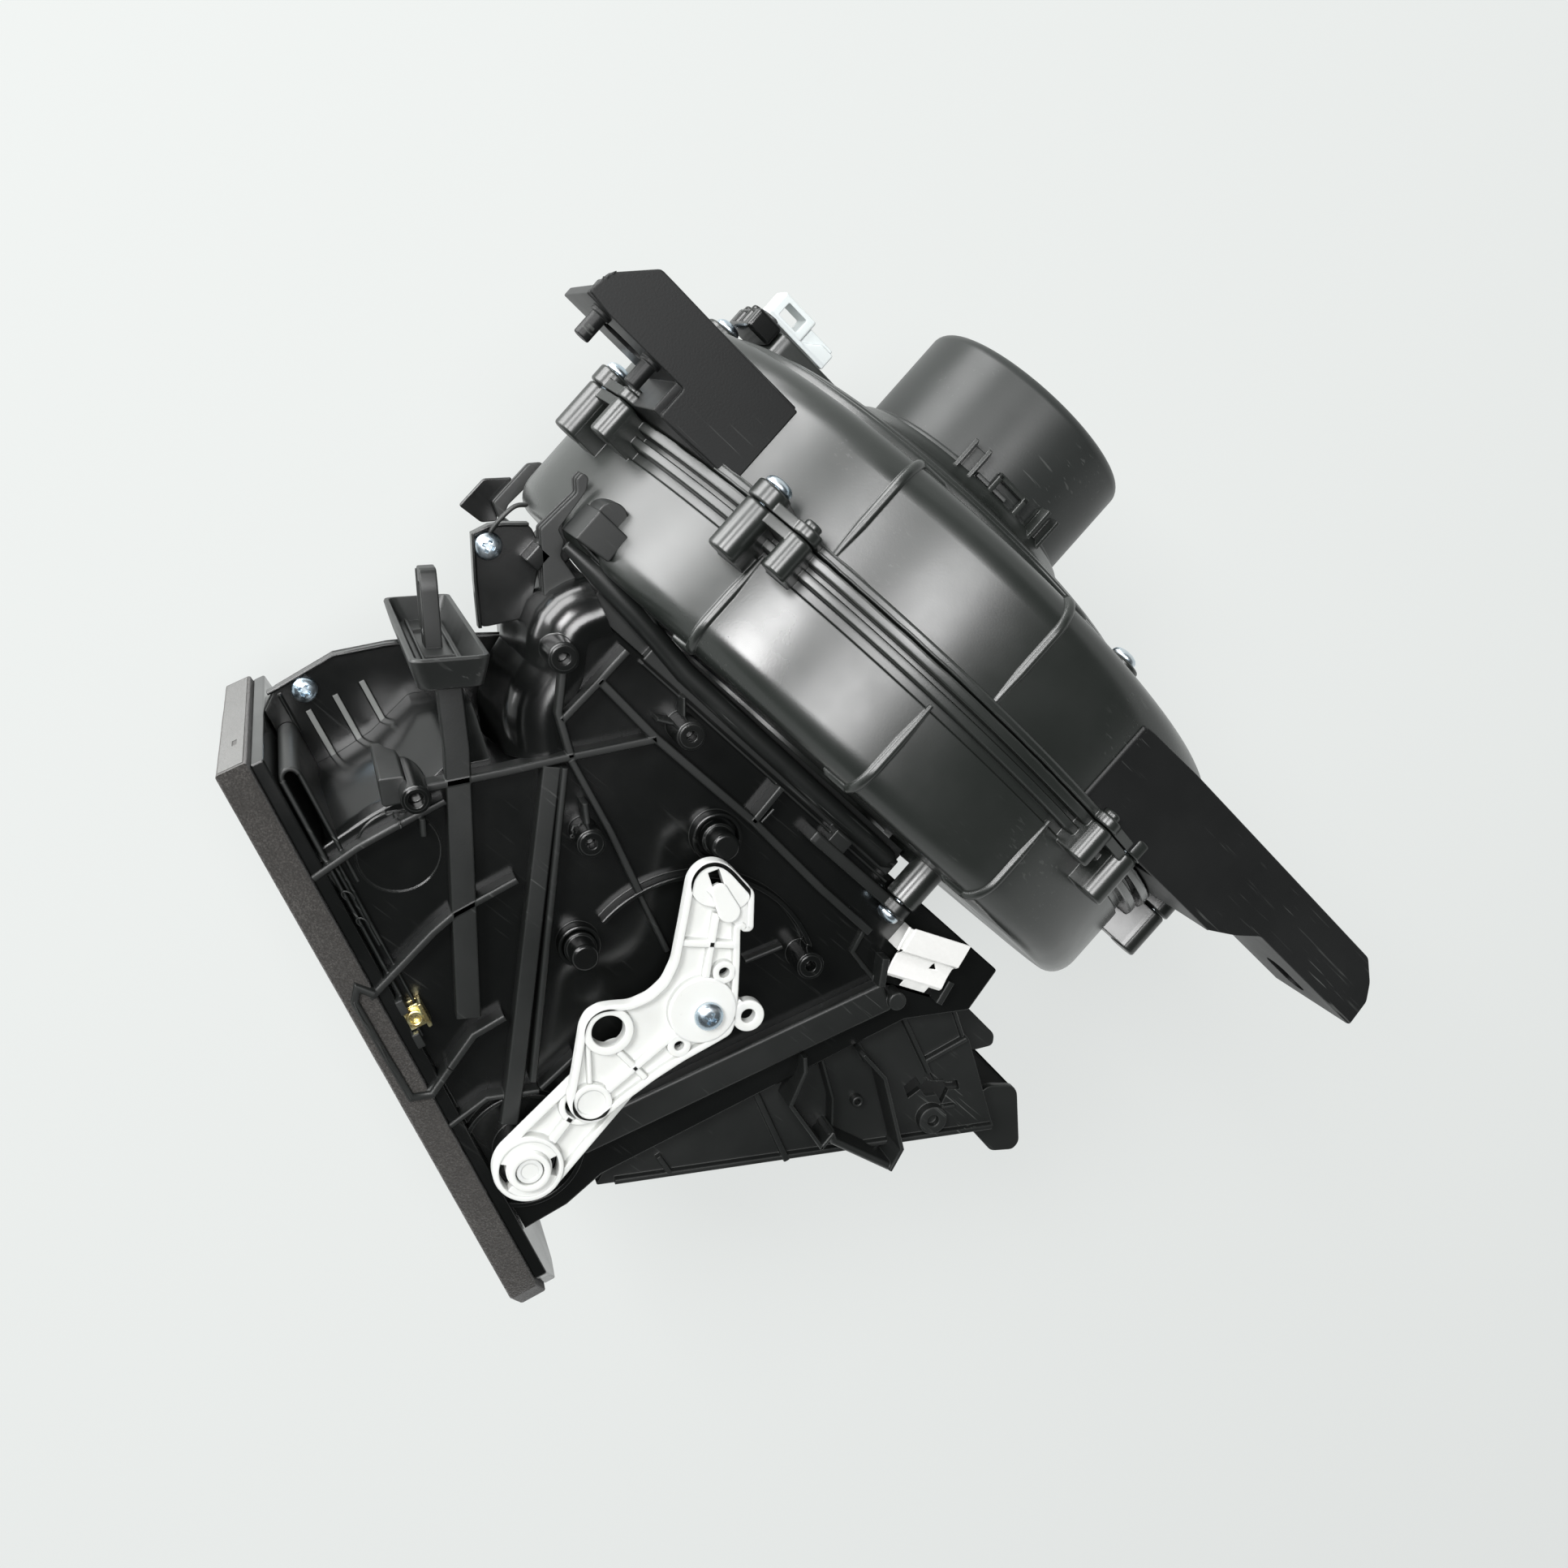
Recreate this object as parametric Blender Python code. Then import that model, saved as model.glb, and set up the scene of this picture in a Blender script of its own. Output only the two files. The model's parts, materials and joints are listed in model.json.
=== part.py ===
"""Heater blower unit: scroll housing with its motor and wheel, air intake case with a
recirculation door and its levers, foam-sealed intake flange and recirculation duct.

Lengths are in millimetres and angles in degrees until a mesh is made. The design frame has
+Y along the motor shaft towards the motor cover, with the scroll's split plane at Y = 0,
and +Z towards the lever side. One empty lifts it all, so that the base stands on Z = 0.
"""

import math

import bmesh
import bpy
from mathutils import Matrix, Vector

MM = 0.001
GAP = 0.3
WALL = 2.5

# The design frame's origin, seen from the middle of the base.
UNIT_AT = (-13.0, 68.0, 130.0)

# Scroll housing.
SCROLL_FIRST_R = 98.0
SCROLL_LAST_R = 136.0
SCROLL_FIRST_ANGLE = 290.0
SCROLL_GROWTH = 1.2
SCROLL_STEP = 10.0
MOTOR_SIDE_Y = 38.0
INLET_SIDE_Y = -40.0
FLANGE_LIP = 4.5
FLANGE_THICK = 3.2
OUTLET_LEFT_X = 62.0
OUTLET_Z = -130.0
OUTLET_NECK_Z = -112.0
INLET_HOLE_R = 54.0
BOSS_R = 4.8
SLEEVE_R = 4.0
MOTOR_HOLE_R = 80.0

# Mounting ears on the motor half.
EAR_FACE_Y = 10.0
EAR_THICK = 3.0
LEFT_EAR_Z = 82.0
RIGHT_EAR_Z = 118.0
EAR_HOLE_R = 4.5
SCREW_SHANK_R = 1.5

# Motor and wheel.
COVER_R = 40.0
COVER_END_Y = 97.0
DISC_R = 92.0
DISC_Y = 38.3
DISC_TOP_Y = 58.0
PEDESTAL_Y = 54.0
CAN_R = 36.0
CAN_Y = (22.0, 90.0)
SHAFT_R = 4.0
SHAFT_Y = (-24.0, 92.5)
WHEEL_R = 76.0
WHEEL_INNER_R = 63.0
WHEEL_Y = (-33.0, 31.0)
BLADES = 24

# Intake case.
CASE_FRONT_Z = 60.0
CASE_REAR_Z = -60.0
RIB_TOP_Z = 66.0
CASE_TOP_Y = -50.0
STRAP_AT = (50.0, 66.5)
SEAL_START = (-131.0, -151.0)
SEAL_ANGLE = -23.7
SEAL_THICK = 9.0
FRAME_THICK = 4.0

# Levers and recirculation door.
DRIVE_PIVOT = (20.0, -117.0)
DOOR_PIVOT = (12.0, -187.0)
DRIVE_PIN = (11.0, -159.0)
CRANK_Z = (70.0, 74.5)
DRIVE_Z = (75.3, 79.8)
DOOR_ANGLE = 108.0
DOOR_LENGTH = 92.0
DOOR_Z = (-54.0, 54.0)

BLACK = (0.020, 0.023, 0.021)
MATERIALS = {
    "housing_plastic": (BLACK, 0.42, 0.0),
    "cover_plastic": ((0.030, 0.033, 0.031), 0.38, 0.0),
    "case_plastic": ((0.014, 0.016, 0.015), 0.48, 0.0),
    "lever_nylon": ((0.86, 0.87, 0.85), 0.40, 0.0),
    "foam": ((0.055, 0.055, 0.050), 0.95, 0.0),
    "door_seal_foam": ((0.035, 0.035, 0.035), 0.95, 0.0),
    "zinc_screw": ((0.55, 0.66, 0.74), 0.28, 1.0),
    "spring_steel": ((0.62, 0.62, 0.60), 0.30, 1.0),
    "yellow_zinc": ((0.75, 0.62, 0.30), 0.32, 1.0),
    "steel": ((0.50, 0.50, 0.50), 0.35, 1.0),
    "copper": ((0.72, 0.38, 0.22), 0.35, 1.0),
    "bronze": ((0.55, 0.40, 0.22), 0.40, 1.0),
    "ferrite": ((0.06, 0.06, 0.065), 0.60, 0.0),
    "carbon": ((0.03, 0.03, 0.03), 0.70, 0.0),
    "wheel_plastic": ((0.05, 0.05, 0.05), 0.45, 0.0),
    "clip_nylon": ((0.88, 0.90, 0.92), 0.35, 0.0),
}


# Shapes: each is a bmesh in millimetres, in the design frame.


def placed(axis, first, second, along):
    """The point at (first, second) across an axis and at a distance along it."""
    if axis == "X":
        return (along, first, second)
    if axis == "Y":
        return (first, along, second)
    return (first, second, along)


def finished(shape):
    bmesh.ops.remove_doubles(shape, verts=shape.verts, dist=1e-4)
    bmesh.ops.recalc_face_normals(shape, faces=shape.faces)
    return shape


def loft(loops):
    """A closed skin through loops that have the same number of points each."""
    shape = bmesh.new()
    rings = [[shape.verts.new(point) for point in loop] for loop in loops]
    for ring, following in zip(rings, rings[1:]):
        for i in range(len(ring)):
            j = (i + 1) % len(ring)
            shape.faces.new((ring[i], ring[j], following[j], following[i]))
    shape.faces.new(rings[0])
    shape.faces.new(rings[-1])
    return finished(shape)


def prism(outline, low, high, axis="Z"):
    return loft([[placed(axis, u, v, w) for u, v in outline] for w in (low, high)])


def block(low, high):
    outline = [(low[0], low[1]), (high[0], low[1]), (high[0], high[1]), (low[0], high[1])]
    return prism(outline, low[2], high[2])


def circle(centre, radius, segments=24, start=0.0, sweep=360.0):
    """Points around an arc; a full circle leaves out its last point, which is its first."""
    count = segments if sweep >= 360.0 else segments + 1
    turns = [math.radians(start + sweep * i / segments) for i in range(count)]
    return [(centre[0] + radius * math.cos(t), centre[1] + radius * math.sin(t)) for t in turns]


def cylinder(centre, radius, low, high, axis="Z", segments=24):
    return prism(circle(centre, radius, segments), low, high, axis)


def turned(profile, centre=(0.0, 0.0), axis="Y", segments=48):
    """A closed profile of (radius, along) points, all off the axis, turned a full circle."""
    shape = bmesh.new()
    rings = []
    for i in range(segments):
        turn = 2.0 * math.pi * i / segments
        ring = []
        for radius, along in profile:
            first = centre[0] + radius * math.cos(turn)
            second = centre[1] + radius * math.sin(turn)
            ring.append(shape.verts.new(placed(axis, first, second, along)))
        rings.append(ring)
    for i in range(segments):
        ring = rings[i]
        following = rings[(i + 1) % segments]
        for j in range(len(profile)):
            k = (j + 1) % len(profile)
            shape.faces.new((ring[j], ring[k], following[k], following[j]))
    return finished(shape)


def ring(centre, outer, inner, low, high, axis="Z", segments=24):
    profile = [(outer, low), (outer, high), (inner, high), (inner, low)]
    return turned(profile, centre, axis, segments)


def stepped(profile, centre=(0.0, 0.0), axis="Y", segments=24):
    """A solid turned piece from (radius, along) points, one circle for each."""
    return loft(
        [[placed(axis, u, v, along) for u, v in circle(centre, radius, segments)]
         for radius, along in profile]
    )


def beam(start, end, width, low, high):
    """A straight bar between two points of the XY plane."""
    along = Vector((end[0] - start[0], end[1] - start[1])).normalized()
    side = Vector((-along.y, along.x)) * width / 2.0
    outline = [
        (start[0] + side.x, start[1] + side.y),
        (start[0] - side.x, start[1] - side.y),
        (end[0] - side.x, end[1] - side.y),
        (end[0] + side.x, end[1] + side.y),
    ]
    return prism(outline, low, high)


def rib_run(points, width, low, high):
    """Bars through a list of points, each a little longer so that they overlap."""
    bars = []
    for start, end in zip(points, points[1:]):
        along = (Vector(end) - Vector(start)).normalized() * width * 0.35
        bars.append(beam(Vector(start) - along, Vector(end) + along, width, low, high))
    return bars


def moved(shape, offset, angle=0.0, axis="Z"):
    turn = Matrix.Rotation(math.radians(angle), 4, axis)
    bmesh.ops.transform(shape, matrix=Matrix.Translation(offset) @ turn, verts=shape.verts)
    return shape


def rounded(outline, radius, segments=3):
    """The outline with each corner replaced by an arc-like run of points."""
    points = []
    count = len(outline)
    for i in range(count):
        corner = Vector(outline[i])
        before = Vector(outline[i - 1]) - corner
        after = Vector(outline[(i + 1) % count]) - corner
        reach = min(radius, before.length * 0.45, after.length * 0.45)
        first = corner + before.normalized() * reach
        last = corner + after.normalized() * reach
        for step in range(segments + 1):
            t = step / segments
            points.append(first * (1 - t) ** 2 + corner * 2 * t * (1 - t) + last * t * t)
    return points


def hull_of_circles(circles, segments=24):
    """The outline around a few circles, as (centre, radius) pairs: a lever's body."""
    points = []
    for centre, radius in circles:
        points += circle(centre, radius, segments)
    points = sorted(set((round(x, 4), round(y, 4)) for x, y in points))

    def half(run):
        kept = []
        for point in run:
            while len(kept) > 1:
                a = Vector(kept[-1]) - Vector(kept[-2])
                b = Vector(point) - Vector(kept[-1])
                if a.x * b.y - a.y * b.x > 0.0:
                    break
                kept.pop()
            kept.append(point)
        return kept[:-1]

    return half(points) + half(points[::-1])


# From shapes to named objects.


def mesh_of(shapes, name):
    mesh = bpy.data.meshes.new(name)
    joined = bmesh.new()
    for shape in shapes:
        piece = bpy.data.meshes.new("piece")
        shape.to_mesh(piece)
        joined.from_mesh(piece)
        bpy.data.meshes.remove(piece)
        shape.free()
    joined.to_mesh(mesh)
    joined.free()
    return mesh


def with_boolean(mesh, shapes, operation):
    """The mesh after one Boolean with a group of shapes that may overlap each other."""
    body = bpy.data.objects.new("body", mesh)
    tool = bpy.data.objects.new("tool", mesh_of(shapes, "tool"))
    for obj in (body, tool):
        bpy.context.scene.collection.objects.link(obj)
    step = body.modifiers.new("step", "BOOLEAN")
    step.operation = operation
    step.object = tool
    step.use_self = True
    bpy.context.view_layer.update()
    graph = bpy.context.evaluated_depsgraph_get()
    result = bpy.data.meshes.new_from_object(body.evaluated_get(graph))
    for obj in (body, tool):
        old = obj.data
        bpy.data.objects.remove(obj)
        bpy.data.meshes.remove(old)
    return result


def material(name):
    found = bpy.data.materials.get(name)
    if found:
        return found
    colour, roughness, metallic = MATERIALS[name]
    found = bpy.data.materials.new(name)
    found.use_nodes = True
    shader = found.node_tree.nodes["Principled BSDF"]
    shader.inputs["Base Color"].default_value = (*colour, 1.0)
    shader.inputs["Roughness"].default_value = roughness
    shader.inputs["Metallic"].default_value = metallic
    found.diffuse_color = (*colour, 1.0)
    return found


def node(name, look, base, *steps, origin=(0.0, 0.0, 0.0)):
    """A named object: its base shapes, then steps of ("add" or "cut", shapes), in order."""
    mesh = mesh_of([base[0]], name)
    if len(base) > 1:
        mesh = with_boolean(mesh, base[1:], "UNION")
    for kind, shapes in steps:
        mesh = with_boolean(mesh, shapes, "UNION" if kind == "add" else "DIFFERENCE")
    mesh.transform(Matrix.Scale(MM, 4) @ Matrix.Translation(-Vector(origin)))
    mesh.name = name
    mesh.materials.clear()
    mesh.materials.append(material(look))
    mesh.shade_smooth()
    mesh.set_sharp_from_angle(angle=math.radians(32.0))
    obj = bpy.data.objects.new(name, mesh)
    bpy.context.scene.collection.objects.link(obj)
    obj.parent = bpy.data.objects["unit"]
    obj.location = Vector(origin) * MM
    return obj


# Scroll housing.


def scroll_radius(angle):
    grown = (SCROLL_FIRST_ANGLE - angle) / SCROLL_FIRST_ANGLE
    return SCROLL_FIRST_R + (SCROLL_LAST_R - SCROLL_FIRST_R) * grown**SCROLL_GROWTH


def on_scroll(angle, out=0.0):
    """The (X, Z) of a point that stands off the scroll's wall by a distance."""
    radius = scroll_radius(angle) + out
    return (radius * math.cos(math.radians(angle)), radius * math.sin(math.radians(angle)))


def scroll_outline(out, outlet_z=OUTLET_Z):
    count = round(SCROLL_FIRST_ANGLE / SCROLL_STEP)
    points = [on_scroll(SCROLL_FIRST_ANGLE - i * SCROLL_STEP, out) for i in range(count + 1)]
    points.append((SCROLL_LAST_R + out, outlet_z))
    points.append((OUTLET_LEFT_X - out, outlet_z))
    points.append((OUTLET_LEFT_X - out, OUTLET_NECK_Z - out / 2))
    return points


def scroll_solid(sections, outlet_z=OUTLET_Z):
    """A solid through (offset, Y) sections of the scroll's outline."""
    return loft([[(x, y, z) for x, z in scroll_outline(out, outlet_z)] for out, y in sections])


def scroll_bead(angle, low_y, high_y, width=3.0, height=2.0):
    """A raised line along the scroll's wall, parallel to the shaft."""
    bead = block((-width / 2, low_y, -2.0), (width / 2, high_y, height))
    x, z = on_scroll(angle)
    return moved(bead, (x, 0.0, z), 90.0 - angle, "Y")


# (angle of the screw boss, angle of the locating sleeve beside it, how far both stand out,
# the screw head's radius)
BOSSES = [
    (163.5, 155.5, 9.5, 4.2), (127.5, 121.0, 9.5, 4.2), (58.5, 66.0, 5.5, 3.2),
    (24.0, 16.0, 9.5, 4.2),
]


def tied_boss(angle, out, radius, low_y, high_y):
    """A round boss that stands off the scroll's wall on a web of its own width."""
    web = block((-radius, low_y, -2.0), (radius, high_y, out))
    x, z = on_scroll(angle)
    turned_web = moved(web, (x, 0.0, z), 90.0 - angle, "Y")
    return [cylinder(on_scroll(angle, out), radius, low_y, high_y, "Y", 16), turned_web]


def motor_half_collars(grown=0.0):
    """The short bosses over the flange; grown makes them into cutters that clear them."""
    collars = []
    for angle, sleeve_angle, out, _ in BOSSES:
        collars += tied_boss(angle, out, BOSS_R + 0.6 + grown, GAP / 2 - grown, 5.5 + grown)
        collars += tied_boss(sleeve_angle, out, SLEEVE_R + 0.4 + grown, GAP / 2 - grown, 3 + grown)
    return collars


def left_ear():
    plate = [
        (-144, 11), (-143, 18), (-134, 28), (-129, 28), (-60, 27), (-60, 1),
        (-93, 1), (-109, 0.3), (-109, EAR_FACE_Y), (-136, EAR_FACE_Y),
    ]
    low = LEFT_EAR_Z - 36.0
    return [
        prism(plate, LEFT_EAR_Z - EAR_THICK, LEFT_EAR_Z),
        block((-144, EAR_FACE_Y, low), (-109, EAR_FACE_Y + EAR_THICK, LEFT_EAR_Z - 1)),
        block((-140, EAR_FACE_Y, low), (-137.5, 20, LEFT_EAR_Z - 1)),
        block((-111.5, 0.3, low), (-109, 27, LEFT_EAR_Z - 1)),
        block((-134, 25, low), (-70, 28, LEFT_EAR_Z - 1)),
        block((-111, 0.3, low), (-80, 3, LEFT_EAR_Z - 1)),
        cylinder((-137, 75), 2.4, EAR_FACE_Y - 8.5, EAR_FACE_Y + 1, "Y", 16),
        cylinder((-119, 75), 2.4, EAR_FACE_Y - 8.5, EAR_FACE_Y + 1, "Y", 16),
    ]


def right_ear():
    plate = [
        (44, 29), (47, 29.5), (67, 30), (158, 29), (165, 24), (169, 19), (170, 10),
        (122, 10), (115, 5), (106, 0.3), (44, 0.3),
    ]
    strip = [(34, 112.0), (44, RIGHT_EAR_Z + 0.5), (60, RIGHT_EAR_Z - 6), (50, 100.0)]
    low = RIGHT_EAR_Z - 40.0
    return [
        prism(plate, RIGHT_EAR_Z - EAR_THICK, RIGHT_EAR_Z),
        prism(strip, 0.3, 29, "Y"),
        block((120, EAR_FACE_Y, low), (170, EAR_FACE_Y + EAR_THICK, RIGHT_EAR_Z - 1)),
        block((118, EAR_FACE_Y, low), (121, 29, RIGHT_EAR_Z - 1)),
        block((60, 26, 92), (158, 29, RIGHT_EAR_Z - 1)),
        block((80, 0.3, 80), (107, 3, RIGHT_EAR_Z - 1)),
    ]


def scroll_motor_half():
    y = MOTOR_SIDE_Y
    body = scroll_solid([(0, GAP / 2), (0, 28), (-1.3, 33), (-4.5, 36.6), (-9.5, y)])
    lip = scroll_solid([(FLANGE_LIP, GAP / 2), (FLANGE_LIP, FLANGE_THICK)])
    cavity = scroll_solid(
        [(-2.5, -5), (-2.5, 27), (-3.8, 31.5), (-7, 34.4), (-12, y - WALL)], OUTLET_Z - 20
    )
    beads = [scroll_bead(117.5, 0.2, 31.0), scroll_bead(89.5, 0.2, 31.0)]
    holes = [cylinder(on_scroll(b[0], b[2]), 2.3, -1, 8, "Y", 8) for b in BOSSES]
    holes.append(cylinder((0, 0), MOTOR_HOLE_R, 30, 42, "Y", 40))
    holes += [cylinder(polar(DISC_SCREW_R, a), 2.3, 28, 42, "Y", 10) for a in DISC_SCREW_ANGLES]
    foot = outlet_foot(GAP / 2, y + 4.0)
    return node(
        "scroll_motor_half", "housing_plastic",
        [body, lip] + beads + motor_half_collars() + foot,
        ("cut", [cavity] + holes),
    )


def ear_room():
    """Cutters that keep an ear just clear of the motor half, its flange and its screws."""
    y = MOTOR_SIDE_Y
    wall = scroll_solid(
        [(GAP, -5), (GAP, 28), (GAP - 1.3, 33.2), (GAP - 4.5, 36.9), (GAP - 9.5, y + GAP)]
    )
    lip = scroll_solid([(FLANGE_LIP + GAP, -5), (FLANGE_LIP + GAP, FLANGE_THICK + GAP)])
    beads = [scroll_bead(117.5, -1, 31.3, 3.6, 2.3), scroll_bead(89.5, -1, 31.3, 3.6, 2.3)]
    heads = [cylinder(on_scroll(b[0], b[2]), b[3] + GAP, 0, 40, "Y", 16) for b in BOSSES]
    return [wall, lip] + beads + motor_half_collars(GAP) + heads


def mounting_ears():
    left_hole = slot((-130, 64), (-124, 64), EAR_HOLE_R, 5, 20)
    right_hole = slot((150, 99), (158, 99), EAR_HOLE_R, 5, 20)
    node("left_ear", "housing_plastic", left_ear(), ("cut", ear_room() + [left_hole]))
    node("right_ear", "housing_plastic", right_ear(), ("cut", ear_room() + [right_hole]))


def slot(start, end, radius, low, high):
    """A slotted hole along Y."""
    first = circle(start, radius, 8, 90, 180)
    last = circle(end, radius, 8, -90, 180)
    return prism(first + last, low, high, "Y")


def outlet_foot(low_y, high_y):
    """The flange around the outlet, which is also a flat foot."""
    x_low = OUTLET_LEFT_X - 5.0
    x_high = SCROLL_LAST_R + 5.0
    return [block((x_low, low_y, OUTLET_Z), (x_high, high_y, OUTLET_Z + 4.0))]


def scroll_inlet_half():
    y = INLET_SIDE_Y
    body = scroll_solid(
        [(-7, y), (-2.5, y + 1.4), (-0.6, y + 5), (0, y + 9), (0, -10.8), (-1.2, -10.4),
         (-1.2, -8.0), (0, -7.6), (0, -GAP / 2)]
    )
    lip = scroll_solid([(FLANGE_LIP, -FLANGE_THICK), (FLANGE_LIP, -GAP / 2)])
    band = scroll_solid([(FLANGE_LIP - 1.2, -7.6), (FLANGE_LIP - 1.2, -4.8)])
    cavity = scroll_solid(
        [(-9.5, y + WALL), (-5.0, y + 4), (-3.1, y + 7), (-2.5, y + 11), (-2.5, 5)], OUTLET_Z - 20
    )
    neck = ring((0, 0), INLET_HOLE_R + WALL, INLET_HOLE_R - 1, y - 9.5, y + 1, "Y", 48)
    beads = [scroll_bead(a, y + 4, -9.0) for a in (124.5, 95.5, 71.0)]
    bosses = []
    holes = []
    for angle, sleeve_angle, out, _ in BOSSES:
        bosses += tied_boss(angle, out, BOSS_R, -16.5, -GAP / 2)
        bosses += tied_boss(sleeve_angle, out, SLEEVE_R, -12.0, -GAP / 2)
        holes.append(cylinder(on_scroll(angle, out), 1.9, -12, 2, "Y", 8))
    bosses.append(cylinder(STRAP_AT, 5.6, y - 14, y + 1, "Y", 12))
    bosses.append(block((STRAP_AT[0] - 4, y - 3, 40), (STRAP_AT[0] + 4, y + 1, STRAP_AT[1])))
    holes.append(cylinder(STRAP_AT, 2.0, y - 16, y - 1, "Y", 10))
    holes.append(cylinder((0, 0), INLET_HOLE_R, y - 20, y + 8, "Y", 48))
    foot = outlet_foot(y - 4.0, -GAP / 2)
    return node(
        "scroll_inlet_half", "housing_plastic",
        [body, lip, band] + beads + bosses + foot,
        ("cut", [cavity] + holes),
        ("add", [neck]),
    )


# Motor, its cover and its mounting disc.


DISC_SCREW_ANGLES = [63.0, 183.0, 303.0]
DISC_SCREW_R = 94.0


def polar(radius, angle):
    return (radius * math.cos(math.radians(angle)), radius * math.sin(math.radians(angle)))


def motor_mount_disc():
    y = DISC_Y
    profile = [
        (DISC_R, y), (DISC_R, y + 5.7), (DISC_R - 3.5, y + 7.7), (47, 56.5), (44, 60.2),
        (37.2, 60.2), (37.2, 53), (44, 51), (76, y + 4), (76, y - 2.5), (79, y - 2.5), (79, y),
    ]
    lugs = [cylinder(polar(DISC_SCREW_R, a), 6.5, y, y + 6, "Y", 12) for a in DISC_SCREW_ANGLES]
    holes = [cylinder(polar(DISC_SCREW_R, a), 2.3, y - 4, y + 9, "Y", 12) for a in DISC_SCREW_ANGLES]
    seats = [cylinder(polar(DISC_SCREW_R, a), 5.0, y + 6, y + 12, "Y", 12) for a in DISC_SCREW_ANGLES]
    pedestal = block((-84, 44, -14), (-56, PEDESTAL_Y, 14))
    guides = [
        moved(block((-3.2, 59, 43), (3.2, 64, 46.5)), (0, 0, 0), turn, "Y")
        for turn in (-26.0, 16.0)
    ]
    return node(
        "motor_mount_disc", "housing_plastic",
        [turned(profile, segments=32), pedestal] + lugs + guides,
        ("cut", holes + seats),
    )


def motor_cover():
    y = COVER_END_Y
    base = DISC_TOP_Y + 2.5
    outside = stepped(
        [(COVER_R, base), (COVER_R, y - 4), (COVER_R - 1.2, y - 1.2), (COVER_R - 4, y)],
        segments=48,
    )
    inside = stepped([(COVER_R - 2, base - 5), (COVER_R - 2, y - 2.2)], segments=40)
    window = block((-5, base + 1.5, 30), (5, base + 5, 50))
    return node(
        "motor_cover", "cover_plastic", [outside],
        ("cut", [inside, moved(window, (0, 0, 0), -12.0, "Y")]),
    )


def motor_body():
    low, high = CAN_Y
    can = stepped([(CAN_R, low), (CAN_R, high - 3), (CAN_R - 3, high)], segments=32)
    hollow = stepped([(CAN_R - 1.5, low - 5), (CAN_R - 1.5, high - 1.6)], segments=32)
    rear_hole = cylinder((0, 0), 8.3, high - 5, high + 5, "Y", 20)
    node("motor_can", "steel", [can], ("cut", [hollow, rear_hole]))
    plate = ring((0, 0), CAN_R - 0.2, 8.3, low - 2.3, low - GAP, "Y", 32)
    node("motor_end_plate", "steel", [plate])
    for name, start in (("magnet_upper", 35.0), ("magnet_lower", 215.0)):
        outer = circle((0, 0), 34.0, 12, start, 110.0)
        inner = circle((0, 0), 28.5, 12, start, 110.0)
        node(name, "ferrite", [prism(outer + inner[::-1], 36, 72, "Y")])
    for name, y in (("bearing_front", low - 4.5), ("bearing_rear", high - 6.0)):
        node(name, "bronze", [ring((0, 0), 8.0, SHAFT_R + GAP, y, y + 6.5, "Y", 20)])
    node("brush_plate", "case_plastic", [ring((0, 0), 32.0, 12.0, 23.4, 25.2, "Y", 24)])
    for name, x in (("brush_left", -20.0), ("brush_right", 9.5)):
        node(name, "carbon", [block((x, 25.6, -3.0), (x + 10.5, 32.0, 3.0))])


def rotor():
    low, high = SHAFT_Y
    node("motor_shaft", "steel", [stepped(
        [(SHAFT_R - 0.8, low), (SHAFT_R, low + 1), (SHAFT_R, high - 1), (SHAFT_R - 0.8, high)],
        segments=16,
    )])
    core = []
    for pole in range(10):
        start = pole * 36.0
        core += circle((0, 0), 27.0, 3, start + 3, 30.0)
        core += circle((0, 0), 19.0, 1, start + 34, 4.0)
    bore = [cylinder((0, 0), SHAFT_R + GAP, 20, 80, "Y", 16)]
    node("armature", "copper", [prism(core, 38, 70, "Y")], ("cut", bore))
    node("commutator", "copper", [ring((0, 0), 9.0, SHAFT_R + GAP, 26, 37, "Y", 20)])
    node("wheel_retainer", "spring_steel", [ring((0, 0), 8.0, SHAFT_R + GAP, -20.5, -18, "Y", 20)])


def wheel_blade(turn):
    """One forward-curved blade, across the gap between the wheel's two rings."""
    outer = []
    inner = []
    for i in range(3):
        t = i / 2
        radius = WHEEL_INNER_R + (WHEEL_R - 0.6 - WHEEL_INNER_R) * t
        lead = turn + 7.0 * t * t
        outer.append(polar(radius, lead + 0.55))
        inner.append(polar(radius, lead - 0.55))
    return prism(outer + inner[::-1], WHEEL_Y[0] + 1, WHEEL_Y[1] - 1, "Y")


def blower_wheel():
    low, high = WHEEL_Y
    edge = WHEEL_INNER_R - 1.5
    hub = [
        (edge, high), (edge, high - 2.4), (44, high - 2.4), (42.2, 13), (15, -8), (10, -8),
        (10, -17), (SHAFT_R + GAP, -17), (SHAFT_R + GAP, -4), (13, -4), (39.4, 14.5), (41, high),
    ]
    node("wheel_hub", "wheel_plastic", [turned(hub, segments=30)])
    rim = ring((0, 0), WHEEL_R + 1.0, WHEEL_INNER_R + 2, low, low + 3, "Y", 30)
    carrier = ring((0, 0), WHEEL_R, edge + GAP, high - 2.4, high, "Y", 30)
    blades = [wheel_blade(i * 360.0 / BLADES) for i in range(BLADES)]
    return node("blower_wheel", "wheel_plastic", [carrier, rim] + blades)


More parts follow.
